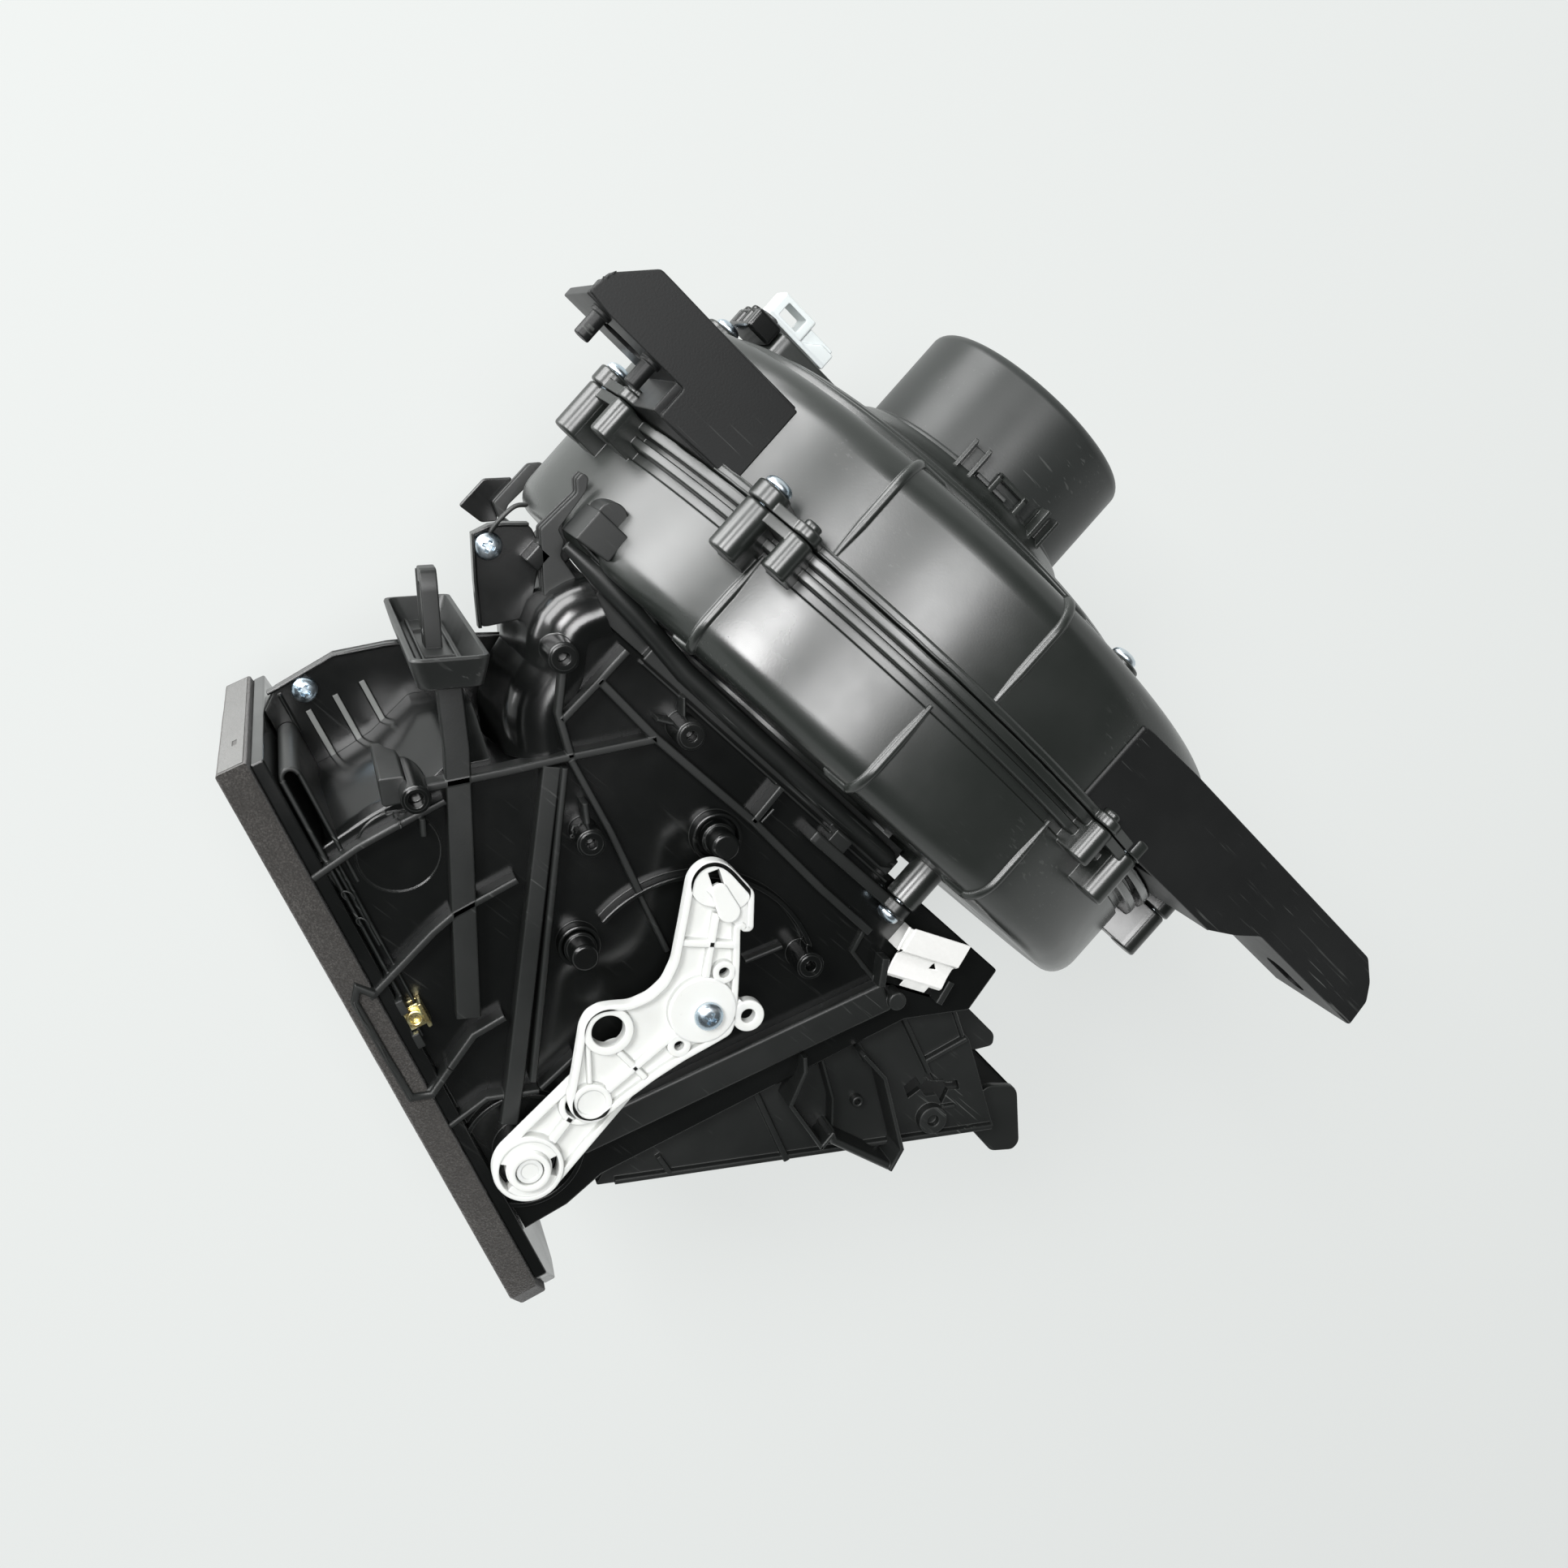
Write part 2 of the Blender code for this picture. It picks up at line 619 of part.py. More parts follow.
def motor_wiring():
    low = 47.6
    high = PEDESTAL_Y + 0.8
    body = block((-94, low, -12), (-84 - GAP, high, 12))
    socket = block((-97, low + 1.3, -8), (-86, low + 5.8, 8))
    grips = [cylinder((x, 0), 2.6, low, high + 1, "Y", 12) for x in (-92, -88)]
    node("motor_connector", "case_plastic", [body] + grips, ("cut", [socket]))
    high += 1.0
    foot = block((-90, high + GAP, -5), (-65, high + GAP + 1.6, 5))
    head = block((-90, high + 1, -5), (-76, high + 9.5, 5))
    heel_line = [(-76.5, high + 1), (-65, high + 1), (-65, high + 6), (-70, high + 6)]
    heel = prism(heel_line, -5, 5)
    window = block((-87, high + 2.6, -12), (-79, high + 7.6, 12))
    node("cable_clip", "clip_nylon", [foot, head, heel], ("cut", [window]))


def screw(name, centre, top, length, axis="Y", into=-1.0, head_r=4.2, look="zinc_screw"):
    """A pan-head screw whose head stands on `top`; into is the way its shank runs."""
    under = top - into * GAP
    crown = under - into * 2.6
    tip = top + into * length
    head = stepped(
        [(head_r, under), (head_r, under - into * 1.0), (head_r * 0.7, crown)], centre, axis, 16
    )
    shank_low, shank_high = sorted((under - into * 0.4, tip))
    shank = cylinder(centre, SCREW_SHANK_R, shank_low, shank_high, axis, 10)
    cross = []
    for along, across in ((head_r * 0.5, 0.5), (0.5, head_r * 0.5)):
        outline = [(-along, -across), (along, -across), (along, across), (-along, across)]
        outline = [(centre[0] + u, centre[1] + v) for u, v in outline]
        low, high = sorted((crown + into * 1.2, crown - into * 1.0))
        cross.append(prism(outline, low, high, axis))
    return node(name, look, [head, shank], ("cut", cross))


# Intake case.


def seal_point(along, inward):
    """The (X, Y) at a distance along the seal's outer face and a depth into the unit."""
    turn = math.radians(SEAL_ANGLE)
    x = SEAL_START[0] + along * math.cos(turn) - inward * math.sin(turn)
    y = SEAL_START[1] + along * math.sin(turn) + inward * math.cos(turn)
    return (x, y)


def seal_prism(outline, low, high):
    """An outline of (along, Z) points, carried from one depth to another."""
    return loft([[(*seal_point(s, depth), z) for s, z in outline] for depth in (low, high)])


def seal_outline(inset):
    i = inset
    return [
        (i, 66 - i), (188 - i, 66 - i), (200 - i, 52 - i), (204 - i, 34), (204 - i, i - 46),
        (192 - i, i - 61), (8 + i, i - 61), (i, i - 53),
    ]


def case_outline():
    """The front view of the case's main chamber."""
    inside = SEAL_THICK + 0.6
    return [
        seal_point(33, inside), (-91, -134), (-86, -120), (-63, -87), (-71, -80), (-85, -66),
        (-81, CASE_TOP_Y), (98, CASE_TOP_Y), (100, -66), (84, -82), (39, -180), (37, -194),
        seal_point(172, inside),
    ]


def side_pocket_outline():
    """The part of the case under the louvred panel, beside the main chamber."""
    inside = SEAL_THICK + 0.6
    return [
        seal_point(4, inside), (-127, -131), (-121, -112), (-111, -99), (-97, -84), (-84, -72),
        (-70, -90), (-86, -130), seal_point(38, inside),
    ]


def side_pocket_floor():
    """The pocket's outline at the back of the case, drawn in by the wall's draft."""
    inside = SEAL_THICK + 0.6
    return [
        seal_point(14, inside), (-115, -140), (-111, -124), (-102, -111), (-89, -96), (-80, -84),
        (-70, -90), (-86, -130), seal_point(38, inside),
    ]


def drafted(top, bottom, low, high):
    """A solid between two outlines, one at each height."""
    return loft([[(x, y, low) for x, y in bottom], [(x, y, high) for x, y in top]])


def shrunk(outline, inset):
    """The outline moved inwards by one distance on every side."""
    points = [Vector(p) for p in outline]
    count = len(points)
    area = sum(points[i - 1].x * points[i].y - points[i].x * points[i - 1].y for i in range(count))
    sign = 1.0 if area > 0 else -1.0
    moved_points = []
    for i in range(count):
        before = (points[i] - points[i - 1]).normalized()
        after = (points[(i + 1) % count] - points[i]).normalized()
        first = Vector((-before.y, before.x)) * sign
        second = Vector((-after.y, after.x)) * sign
        both = first + second
        moved_points.append(points[i] + both * (inset / max(0.3, both.dot(first))))
    return moved_points


WALL_RIBS = [
    # (points, width, top)
    ([(-88, -119), (-61, -84), (-45, -66)], 2.6, RIB_TOP_Z),
    ([(-84, -66), (-67, -82), (-61, -85)], 2.6, RIB_TOP_Z),
    ([(-70, -79), (-69, -54)], 2.6, RIB_TOP_Z),
    ([(-69, -64), (-45, -65), (21, -65), (52, -66)], 2.6, RIB_TOP_Z),
    ([(-6, -65), (-3, -52)], 2.2, RIB_TOP_Z),
    ([(-57, -87), (-19, -103)], 2.2, RIB_TOP_Z),
    ([(-62, -90), (3, -182)], 7.0, RIB_TOP_Z),
    ([(-57, -88), (2, -168)], 2.2, RIB_TOP_Z + 1.5),
    ([(-84, -106), (-29, -164)], 7.0, RIB_TOP_Z),
    ([(-91, -152), (-83, -130), (-77, -117)], 2.6, RIB_TOP_Z),
    ([(-60, -165), (-57, -149), (-55, -141), (-46, -125)], 2.4, RIB_TOP_Z),
    ([(-24, -185), (-26, -168), (-22, -157)], 2.4, RIB_TOP_Z),
    ([(-11, -191), (-8, -177), (5, -168)], 1.8, RIB_TOP_Z),
    ([(2, -168), (4, -154)], 2.2, RIB_TOP_Z),
    ([(32, -174), (84, -76)], 8.0, RIB_TOP_Z),
    ([(-15, -104), (4, -112)], 1.8, 64.0),
    ([(24, -102), (30, -88)], 1.8, 64.0),
    ([(-20, -114), (-8, -96), (12, -84), (40, -84)], 2.0, RIB_TOP_Z),
]

# (centre, outside radius, hole radius, top)
WALL_BOSSES = [
    ((-83, -65), 4.8, 2.0, 74.0),
    ((-40, -58), 4.8, 2.0, 74.0),
    ((-41, -100), 4.8, 2.0, 74.0),
    ((-88, -121), 4.4, 1.9, 74.0),
    ((39, -87), 4.6, 2.0, 72.0),
    ((-9, -76), 8.0, 5.6, 67.5),
    ((-19, -127), 6.6, 4.9, 67.5),
    (DRIVE_PIVOT, 7.5, 1.8, 75.0),
    (DOOR_PIVOT, 9.0, 4.6, 68.0),
]


def chamber(outline, low, high, wall):
    """The space inside a case half: its outline less the wall."""
    return prism(shrunk(outline, wall), low, high)


def case_openings():
    """Cutters for the ways in and out: seal side, scroll side and recirculation side."""
    inlet = cylinder((0, 0), INLET_HOLE_R - 1, CASE_TOP_Y - 6, CASE_TOP_Y + 3, "Y", 48)
    fresh = seal_prism(
        [(38, 52), (166, 52), (166, -50), (12, -50), (12, -6), (38, -6)], SEAL_THICK - 3, 22.0
    )
    recirculation = prism([(50, -168), (80, -103), (92, -108), (62, -174)], -50, 50)
    return [inlet, fresh, recirculation]


def seal_flange():
    """The flange behind the foam seal, which the two case halves carry."""
    ring_shape = seal_prism(seal_outline(1.5), SEAL_THICK + GAP, SEAL_THICK + GAP + FRAME_THICK)
    return node("seal_flange", "case_plastic", [ring_shape], ("cut", [case_openings()[1]]))


def flange_room():
    """A cutter that ends the case halves just behind the flange."""
    return seal_prism(
        [(-40, 120), (240, 120), (240, -120), (-40, -120)], -20, SEAL_THICK + FRAME_THICK + 2 * GAP
    )


def intake_case_front():
    outline = case_outline()
    body = prism(outline, GAP / 2, CASE_FRONT_Z)
    hollow = chamber(outline, -5, CASE_FRONT_Z - WALL, WALL)
    ribs = []
    for points, width, top in WALL_RIBS:
        ribs += rib_run(points, width, CASE_FRONT_Z - 1, top)
    bosses = []
    holes = []
    for centre, outer, inner, top in WALL_BOSSES:
        bosses.append(cylinder(centre, outer, CASE_FRONT_Z - 1, top, "Z", 12))
        holes.append(cylinder(centre, inner, CASE_FRONT_Z + 1, top + 2, "Z", 8))
    holes.append(cylinder(DOOR_PIVOT, 4.6, 40, 80, "Z", 16))
    edge = [beam((-96, -46.5), (42, -46.5), 5.0, 58.0, 64.0)]
    edge.append(block((-80, -51, 57), (42, -45, 61)))
    arm = rib_run([(-99.5, -92), (-78, -113)], 9.0, 52.0, RIB_TOP_Z)
    pocket = prism(rounded([(-63, -169), (-55, -155), (-27, -172), (-25, -185)], 3), 57, RIB_TOP_Z)
    pocket_hole = prism([(-59, -168), (-54, -159), (-30, -173), (-28, -181)], CASE_FRONT_Z - 0.4, 80)
    x, z = STRAP_AT
    strap = [beam((14, -56.5), (x, -56.5), 4.0, z - 4, z + 2)]
    strap.append(block((12, -58.5, 58), (18, -54.5, z + 2)))
    strap.append(cylinder(STRAP_AT, 5.0, -58.5, -54.4, "Y", 12))
    holes.append(cylinder(STRAP_AT, 2.0, -60, -53, "Y", 10))
    posts = [cylinder(WALL_BOSSES[5][0], 4.5, 56, 74.5, "Z", 16)]
    posts.append(cylinder(WALL_BOSSES[6][0], 4.3, 56, 74.5, "Z", 16))
    return node(
        "intake_case_front", "case_plastic",
        [body] + ribs + bosses + edge + arm + [pocket] + strap,
        ("cut", [hollow, flange_room(), pocket_hole] + case_openings() + holes),
        ("add", posts),
    )


def intake_case_rear():
    outline = case_outline()
    side = side_pocket_outline()
    floor = side_pocket_floor()
    body = prism(outline, CASE_REAR_Z, -GAP / 2)
    pocket = drafted(side, floor, CASE_REAR_Z, 5.0)
    hollow = chamber(outline, CASE_REAR_Z + WALL, 5, WALL)
    side_hollow = drafted(shrunk(side, WALL), shrunk(floor, WALL), CASE_REAR_Z + WALL, 9)
    socket = cylinder(DOOR_PIVOT, 7.0, CASE_REAR_Z + 1, CASE_REAR_Z + 6, "Z", 16)
    bore = cylinder(DOOR_PIVOT, 4.6, CASE_REAR_Z + 2.5, CASE_REAR_Z + 9, "Z", 16)
    clearance = prism(shrunk(outline, -GAP), -GAP / 2, 12)
    return node(
        "intake_case_rear", "case_plastic",
        [body, pocket],
        ("cut", [hollow, side_hollow, clearance, flange_room()] + case_openings()),
        ("add", [socket]),
        ("cut", [bore]),
    )


def foam_seal():
    ring_shape = seal_prism(seal_outline(0), 0, SEAL_THICK)
    window = seal_prism(
        [(14, 52), (182, 52), (190, 40), (190, -42), (182, -48), (14, -48)], -5, SEAL_THICK + 5
    )
    return node("foam_seal", "foam", [ring_shape], ("cut", [window]))


def louvred_panel():
    outline = shrunk(side_pocket_outline(), 0.5)
    plate = prism(outline, 5.3, 7.3)
    keep_off = prism(shrunk(case_outline(), -GAP), 0, 20)
    frame_off = seal_prism([(-20, 80), (220, 80), (220, -80), (-20, -80)], 0, SEAL_THICK + 5)
    hole = cylinder((-120, -126), 1.9, 0, 12, "Z", 12)
    slots = [beam((-113 + 4 * i, -119 + 7 * i), (-98 + 4 * i, -126 + 7 * i), 2.2, 0, 12)
             for i in range(3)]
    return node("louvred_panel", "case_plastic", [plate], ("cut", [keep_off, frame_off, hole] + slots))


def harness_tray():
    """A boat-shaped channel along Z, open away from the case, with an upright blade."""
    channel = block((-10.5, 0, -15), (10.5, 9, 92))
    hollow = block((-8.5, 2, -13), (8.5, 12, 90))
    blade = block((-2.5, 1, 28), (2.5, 25, 40))
    stop = block((-2, 1, 82), (2, 4, 86))
    shapes = [moved(s, (-103.6, -90.0, 0), 45.0) for s in (channel, hollow, blade, stop)]
    return node(
        "harness_tray", "case_plastic", [shapes[0]], ("cut", [shapes[1]]), ("add", shapes[2:])
    )


def harness_bracket():
    """Cheeks of stacked plates at the side of the scroll's neck, with a bridge between."""
    plate = [(-119, -56), (-114, -48), (-108, -43), (-100, -47), (-90, -64), (-99, -76)]
    fin = [
        (-110, -43), (-110, -27), (-106, -23), (-105, -24), (-105, -43), (-97, -46),
        (-90, -62), (-94, -66),
    ]
    shapes = [prism(plate, 36, 39)]
    for z in (40.5, 44.0, 47.5):
        shapes.append(prism(fin, z, z + 1.6))
    for z in (-26.0, -29.5):
        shapes.append(prism([(x - 3, y) for x, y in fin], z, z + 1.6))
    shapes.append(block((-104, -52, -30), (-99, -46, 49)))
    hole = cylinder((-113, -56), 1.8, 30, 41, "Z", 12)
    return node("harness_bracket", "case_plastic", shapes, ("cut", [hole]))


def recirculation_duct():
    outline = [(41.5, -183), (42, -193), (144, -100), (152, -88), (126, -66), (101.5, -68.5),
               (85.6, -83)]
    body = prism(outline, -54, 54)
    inside = [(47, -184), (142, -97.5), (160, -92), (134, -60), (120, -69.2), (103, -71.2),
              (78, -88), (36, -178)]
    hollow = prism(inside, -51.5, 51.5)
    lip = prism([(141, -105), (158, -88), (155, -85), (150, -88), (142, -97)], -56, 47)
    lip_top = prism([(126, -62), (131, -66), (123, -72), (118, -69)], -56, 47)
    ribs = []
    for x, y in ((52, -166), (60, -153), (86, -124)):
        ribs += rib_run([(x, y), (x + 8, y - 4)], 1.8, 53, 56.5)
    ribs += rib_run([(46, -188), (140, -102)], 2.0, 53, 57)
    boss = cylinder((117, -101), 5.0, 53, 60, "Z", 16)
    boss_hole = cylinder((117, -101), 1.9, 50, 66, "Z", 12)
    stay = rib_run([(75, -106), (95, -101), (119, -115), (123, -121), (98, -128)], 2.4, 53, 66)
    stay += rib_run([(75, -106), (98, -128)], 2.4, 53, 60)
    return node(
        "recirculation_duct", "case_plastic",
        [body, lip, lip_top, boss] + ribs + stay,
        ("cut", [hollow, boss_hole]),
    )


# Recirculation door and its levers.


def drive_lever():
    pivot, pin = DRIVE_PIVOT, DRIVE_PIN
    low, high = DRIVE_Z
    top = (-7, -86)
    upper = prism(hull_of_circles([(pivot, 12.0), (top, 7.0)]), low, high)
    lower = prism(hull_of_circles([(pivot, 12.0), ((1, -139), 8.5), (pin, 8.0)]), low, high)
    tab = prism([(-4, -80), (5, -79), (14, -90), (9, -100), (0, -95)], low, high)
    eye = cylinder((31, -110), 5.0, low, high, "Z", 16)
    peg = cylinder(pin, 2.8, 69.5, low + 1, "Z", 16)
    holes = [
        cylinder(pivot, 2.8, 60, 90, "Z", 16),
        cylinder((31, -110), 3.1, 60, 90, "Z", 16),
        cylinder((1, -139), 5.5, 60, 90, "Z", 20),
        cylinder((16, -104.5), 2.2, 60, 90, "Z", 12),
        cylinder((21, -130), 1.9, 60, 90, "Z", 12),
        beam((-9, -88), (-5, -84), 4.4, 60, 90),
    ]
    origin = (*pivot, low)
    return node(
        "drive_lever", "lever_nylon", [upper, lower, tab, eye], ("cut", holes), ("add", [peg]),
        origin=origin,
    )


def crank_lever():
    low, high = CRANK_Z
    body = prism(hull_of_circles([(DOOR_PIVOT, 11.0), ((13, -147), 9.0)]), low, high)
    hub = cylinder(DOOR_PIVOT, 8.5, low, high + 3.0, "Z", 24)
    along = (Vector(DRIVE_PIN) - Vector(DOOR_PIVOT)).normalized()
    near = Vector(DOOR_PIVOT) + along * 24.5
    far = Vector(DOOR_PIVOT) + along * 37.5
    run = prism(hull_of_circles([(near, 4.8), (far, 4.8)], 16), 60, 90)
    bore = cylinder(DOOR_PIVOT, 4.3, 60, 90, "Z", 16)
    return node(
        "crank_lever", "lever_nylon", [body, hub], ("cut", [run, bore]), origin=(*DOOR_PIVOT, low)
    )


def door_shape(first, last, thick, low, high):
    """A plate from one distance to another off the door's pivot, along its rest angle."""
    along = Vector(polar(1.0, DOOR_ANGLE))
    pivot = Vector(DOOR_PIVOT)
    return beam(pivot + along * first, pivot + along * last, thick, low, high)


def recirculation_door():
    origin = (*DOOR_PIVOT, 0.0)
    low, high = DOOR_Z
    shaft = cylinder(DOOR_PIVOT, 4.0, CASE_REAR_Z + 3.0, 76.5, "Z", 16)
    node("door_shaft", "lever_nylon", [shaft], origin=origin)
    sleeve = cylinder(DOOR_PIVOT, 7.0, low, high, "Z", 16)
    bore = cylinder(DOOR_PIVOT, 4.3, low - 5, high + 5, "Z", 16)
    plate = door_shape(5, DOOR_LENGTH, 2.4, low, high)
    node("recirculation_door", "case_plastic", [sleeve, plate], ("cut", [bore]), origin=origin)
    rim = door_shape(12, DOOR_LENGTH + 4, 8.0, low - 2, high + 2)
    slit = door_shape(0, DOOR_LENGTH + GAP, 2.4 + 2 * GAP, low - GAP, high + GAP)
    window = door_shape(22, DOOR_LENGTH - 10, 20.0, low + 9, high - 9)
    node("door_seal", "door_seal_foam", [rim], ("cut", [slit, window]), origin=origin)


def small_hardware():
    for number, (angle, _, out, head_r) in enumerate(BOSSES, 1):
        screw(f"scroll_screw_{number}", on_scroll(angle, out), 5.5, 16.0, head_r=head_r)
    for number, angle in enumerate(DISC_SCREW_ANGLES, 1):
        screw(f"disc_screw_{number}", polar(DISC_SCREW_R, angle), DISC_Y + 6, 9.0)
    screw("drive_lever_screw", DRIVE_PIVOT, DRIVE_Z[1] + 0.2, 18.0, "Z", -1.0, 4.4)
    screw("bracket_screw", (-113, -56), 39.0, 8.0, "Z", -1.0, 4.2)
    screw("strap_screw", STRAP_AT, -58.5, 12.0, "Y", 1.0, 3.8)
    screw("panel_screw", (-120, -126), 7.3, 4.0, "Z", -1.0, 4.0)
    low = CASE_FRONT_Z
    nut = [block((-4, -3.5, 0), (4, 3.5, 1.5)), block((-4, 2, 0), (4, 3.5, 7))]
    node("speed_nut", "yellow_zinc", [moved(n, (-43, -170.5, low), SEAL_ANGLE) for n in nut])
    leaf = [(62, 68.0), (84, 68.0), (84, 69.0), (62, 69.0)]
    clip = [prism(leaf, -64, -52, "Y"), block((60, -64, 68), (64, -52, 69))]
    clip.append(block((60, -66, 61), (61.2, -54, 69)))
    node("duct_spring_clip", "spring_steel", clip)


def clear_scene():
    for obj in list(bpy.data.objects):
        bpy.data.objects.remove(obj)


def main():
    clear_scene()
    unit = bpy.data.objects.new("unit", None)
    bpy.context.scene.collection.objects.link(unit)
    unit.location = Vector(UNIT_AT) * MM
    scroll_motor_half()
    mounting_ears()
    scroll_inlet_half()
    motor_mount_disc()
    motor_cover()
    motor_body()
    rotor()
    blower_wheel()
    motor_wiring()
    intake_case_front()
    intake_case_rear()
    seal_flange()
    foam_seal()
    louvred_panel()
    harness_tray()
    harness_bracket()
    recirculation_duct()
    drive_lever()
    crank_lever()
    recirculation_door()
    small_hardware()


main()
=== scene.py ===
"""The looks of a heater blower unit: its shells, levers, seal and screws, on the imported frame."""
import json
import math

import bmesh
import bpy
import numpy as np
from mathutils import Matrix, Vector


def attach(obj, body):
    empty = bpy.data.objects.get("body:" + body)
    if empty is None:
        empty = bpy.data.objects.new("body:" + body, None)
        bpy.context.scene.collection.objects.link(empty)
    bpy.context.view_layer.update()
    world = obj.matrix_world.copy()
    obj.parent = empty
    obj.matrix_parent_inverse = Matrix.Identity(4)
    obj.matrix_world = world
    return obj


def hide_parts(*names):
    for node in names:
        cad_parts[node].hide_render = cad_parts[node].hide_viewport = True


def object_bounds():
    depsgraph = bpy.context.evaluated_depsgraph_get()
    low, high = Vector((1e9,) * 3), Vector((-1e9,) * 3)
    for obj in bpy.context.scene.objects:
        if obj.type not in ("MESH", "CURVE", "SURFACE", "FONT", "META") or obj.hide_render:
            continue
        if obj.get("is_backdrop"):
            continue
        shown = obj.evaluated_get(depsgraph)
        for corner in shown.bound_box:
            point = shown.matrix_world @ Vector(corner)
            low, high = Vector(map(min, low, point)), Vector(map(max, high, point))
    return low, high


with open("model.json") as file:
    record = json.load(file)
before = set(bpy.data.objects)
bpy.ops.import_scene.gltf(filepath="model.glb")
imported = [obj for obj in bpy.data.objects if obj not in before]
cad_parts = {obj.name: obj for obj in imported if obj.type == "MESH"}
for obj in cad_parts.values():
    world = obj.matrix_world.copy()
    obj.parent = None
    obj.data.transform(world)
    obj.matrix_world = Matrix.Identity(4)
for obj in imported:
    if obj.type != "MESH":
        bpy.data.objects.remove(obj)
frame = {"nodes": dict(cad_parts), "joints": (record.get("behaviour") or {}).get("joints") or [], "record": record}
CAD_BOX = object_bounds()
NODES = frame["nodes"]
RECORD = frame["record"]
JOINTS = {joint["name"]: Vector(joint["pos_m"]) for joint in frame["joints"]}
SLOT_OF = {part["node"]: part["material_slot"] for part in RECORD["subparts"]}
BODY_OF = {n: body for body, members in RECORD["behaviour"]["bodies"].items() for n in members}

# Lengths of the shapes are in millimetres from the motor's axis, where it crosses the
# scroll's flange. The camera, the lights and the floor are in metres.
MM = 0.001
MOTOR_AT = JOINTS["rotor_spin"]
PLASTIC_EDGE_R = 0.45 * MM
EDGE_RUB = 0.35
WORN = (0.10, 0.105, 0.10)
GRIME = (0.35, 0.34, 0.30)


# Materials.


def add(tree, kind, settings=None, **inputs):
    """A shader node; an input is a number, a colour or another node's output."""
    made = tree.nodes.new("ShaderNode" + kind)
    for key, value in (settings or {}).items():
        setattr(made, key, value)
    for key, value in inputs.items():
        socket = made.inputs[int(key[1:])] if key[0] == "_" else made.inputs[key.replace("_", " ")]
        if isinstance(value, bpy.types.NodeSocket):
            tree.links.new(value, socket)
        else:
            socket.default_value = value
    return made


def math_node(tree, operation, first, second=0.0, clamp=False):
    settings = {"operation": operation, "use_clamp": clamp}
    return add(tree, "Math", settings, _0=first, _1=second).outputs[0]


def remap(tree, value, low, high, to_low=0.0, to_high=1.0):
    node = add(
        tree, "MapRange", {"clamp": True}, Value=value, From_Min=low, From_Max=high,
        To_Min=to_low, To_Max=to_high,
    )
    return node.outputs[0]


def colour_mix(tree, amount, first, second):
    return add(tree, "Mix", {"data_type": "RGBA"}, _0=amount, _6=first, _7=second).outputs[2]


def rgba(colour):
    return (*colour, 1.0)


def noise_at(tree, place, scale, detail=3.0, roughness=0.55):
    return add(
        tree, "TexNoise", None, Vector=place, Scale=scale, Detail=detail, Roughness=roughness
    ).outputs["Fac"]


def streaks(tree, place, turn, scale, along=0.04, threshold=0.66, width=0.05):
    """Thin scratches in one direction."""
    mapped = add(
        tree, "Mapping", None, Vector=place, Rotation=turn, Scale=(scale * along, scale, scale)
    ).outputs[0]
    raw = noise_at(tree, mapped, 1.0, 2.0, 0.5)
    return remap(tree, raw, threshold, threshold + width)


def new_material(name):
    material = bpy.data.materials.new(name)
    material.use_nodes = True
    tree = material.node_tree
    tree.nodes.clear()
    shader = add(tree, "BsdfPrincipled")
    out = add(tree, "OutputMaterial")
    tree.links.new(shader.outputs[0], out.inputs[0])
    place = add(tree, "TexCoord").outputs["Object"]
    return material, tree, shader, place


def rounded_normal(tree, radius):
    return add(tree, "Bevel", {"samples": 4}, Radius=radius).outputs[0]


def edge_mask(tree, rounded):
    """1 on the sharp edges and 0 elsewhere, from how far the rounded normal leans."""
    plain = add(tree, "NewGeometry").outputs["Normal"]
    dot = add(tree, "VectorMath", {"operation": "DOT_PRODUCT"}, _0=rounded, _1=plain)
    return remap(tree, dot.outputs["Value"], 0.995, 0.80)


def plastic(name, colour, roughness, grain, scratches, waves=0.0, specular=0.5):
    """Moulded plastic: fine grain, uneven gloss, scratches in patches and rubbed edges."""
    material, tree, shader, place = new_material(name)
    rounded = rounded_normal(tree, PLASTIC_EDGE_R)
    edges = edge_mask(tree, rounded)
    cloud = noise_at(tree, place, 22.0, 4.0)
    fine = noise_at(tree, place, 1500.0, 2.0)
    patch = remap(tree, noise_at(tree, place, 30.0, 3.0), 0.5, 0.68)
    first = streaks(tree, place, (0.4, 0.2, 0.9), 900.0)
    second = streaks(tree, place, (1.1, 0.7, 2.2), 1100.0)
    lines = math_node(tree, "MAXIMUM", first, second)
    lines = math_node(tree, "MULTIPLY", math_node(tree, "MULTIPLY", lines, patch), scratches)
    rub = math_node(tree, "MULTIPLY", math_node(tree, "MULTIPLY", edges, cloud), EDGE_RUB)
    marks = math_node(tree, "ADD", lines, rub, clamp=True)
    dull = math_node(tree, "MULTIPLY", remap(tree, cloud, 0.35, 0.7), 0.25)
    base = colour_mix(tree, dull, rgba(colour), rgba([1.35 * c + 0.004 for c in colour]))
    base = colour_mix(tree, marks, base, rgba(WORN))
    tree.links.new(base, shader.inputs["Base Color"])
    gloss = remap(tree, cloud, 0.3, 0.7, roughness - 0.06, roughness + 0.08)
    gloss = math_node(tree, "ADD", gloss, math_node(tree, "MULTIPLY", marks, 0.35), clamp=True)
    tree.links.new(gloss, shader.inputs["Roughness"])
    height = math_node(tree, "SUBTRACT", fine, math_node(tree, "MULTIPLY", lines, 1.5))
    bump = add(tree, "Bump", None, Strength=grain, Distance=0.1 * MM, Height=height, Normal=rounded)
    if waves:
        slow = noise_at(tree, place, 45.0, 1.0)
        bump = add(
            tree, "Bump", None, Strength=waves, Distance=0.6 * MM, Height=slow,
            Normal=bump.outputs[0],
        )
    tree.links.new(bump.outputs[0], shader.inputs["Normal"])
    shader.inputs["Specular IOR Level"].default_value = specular
    return material


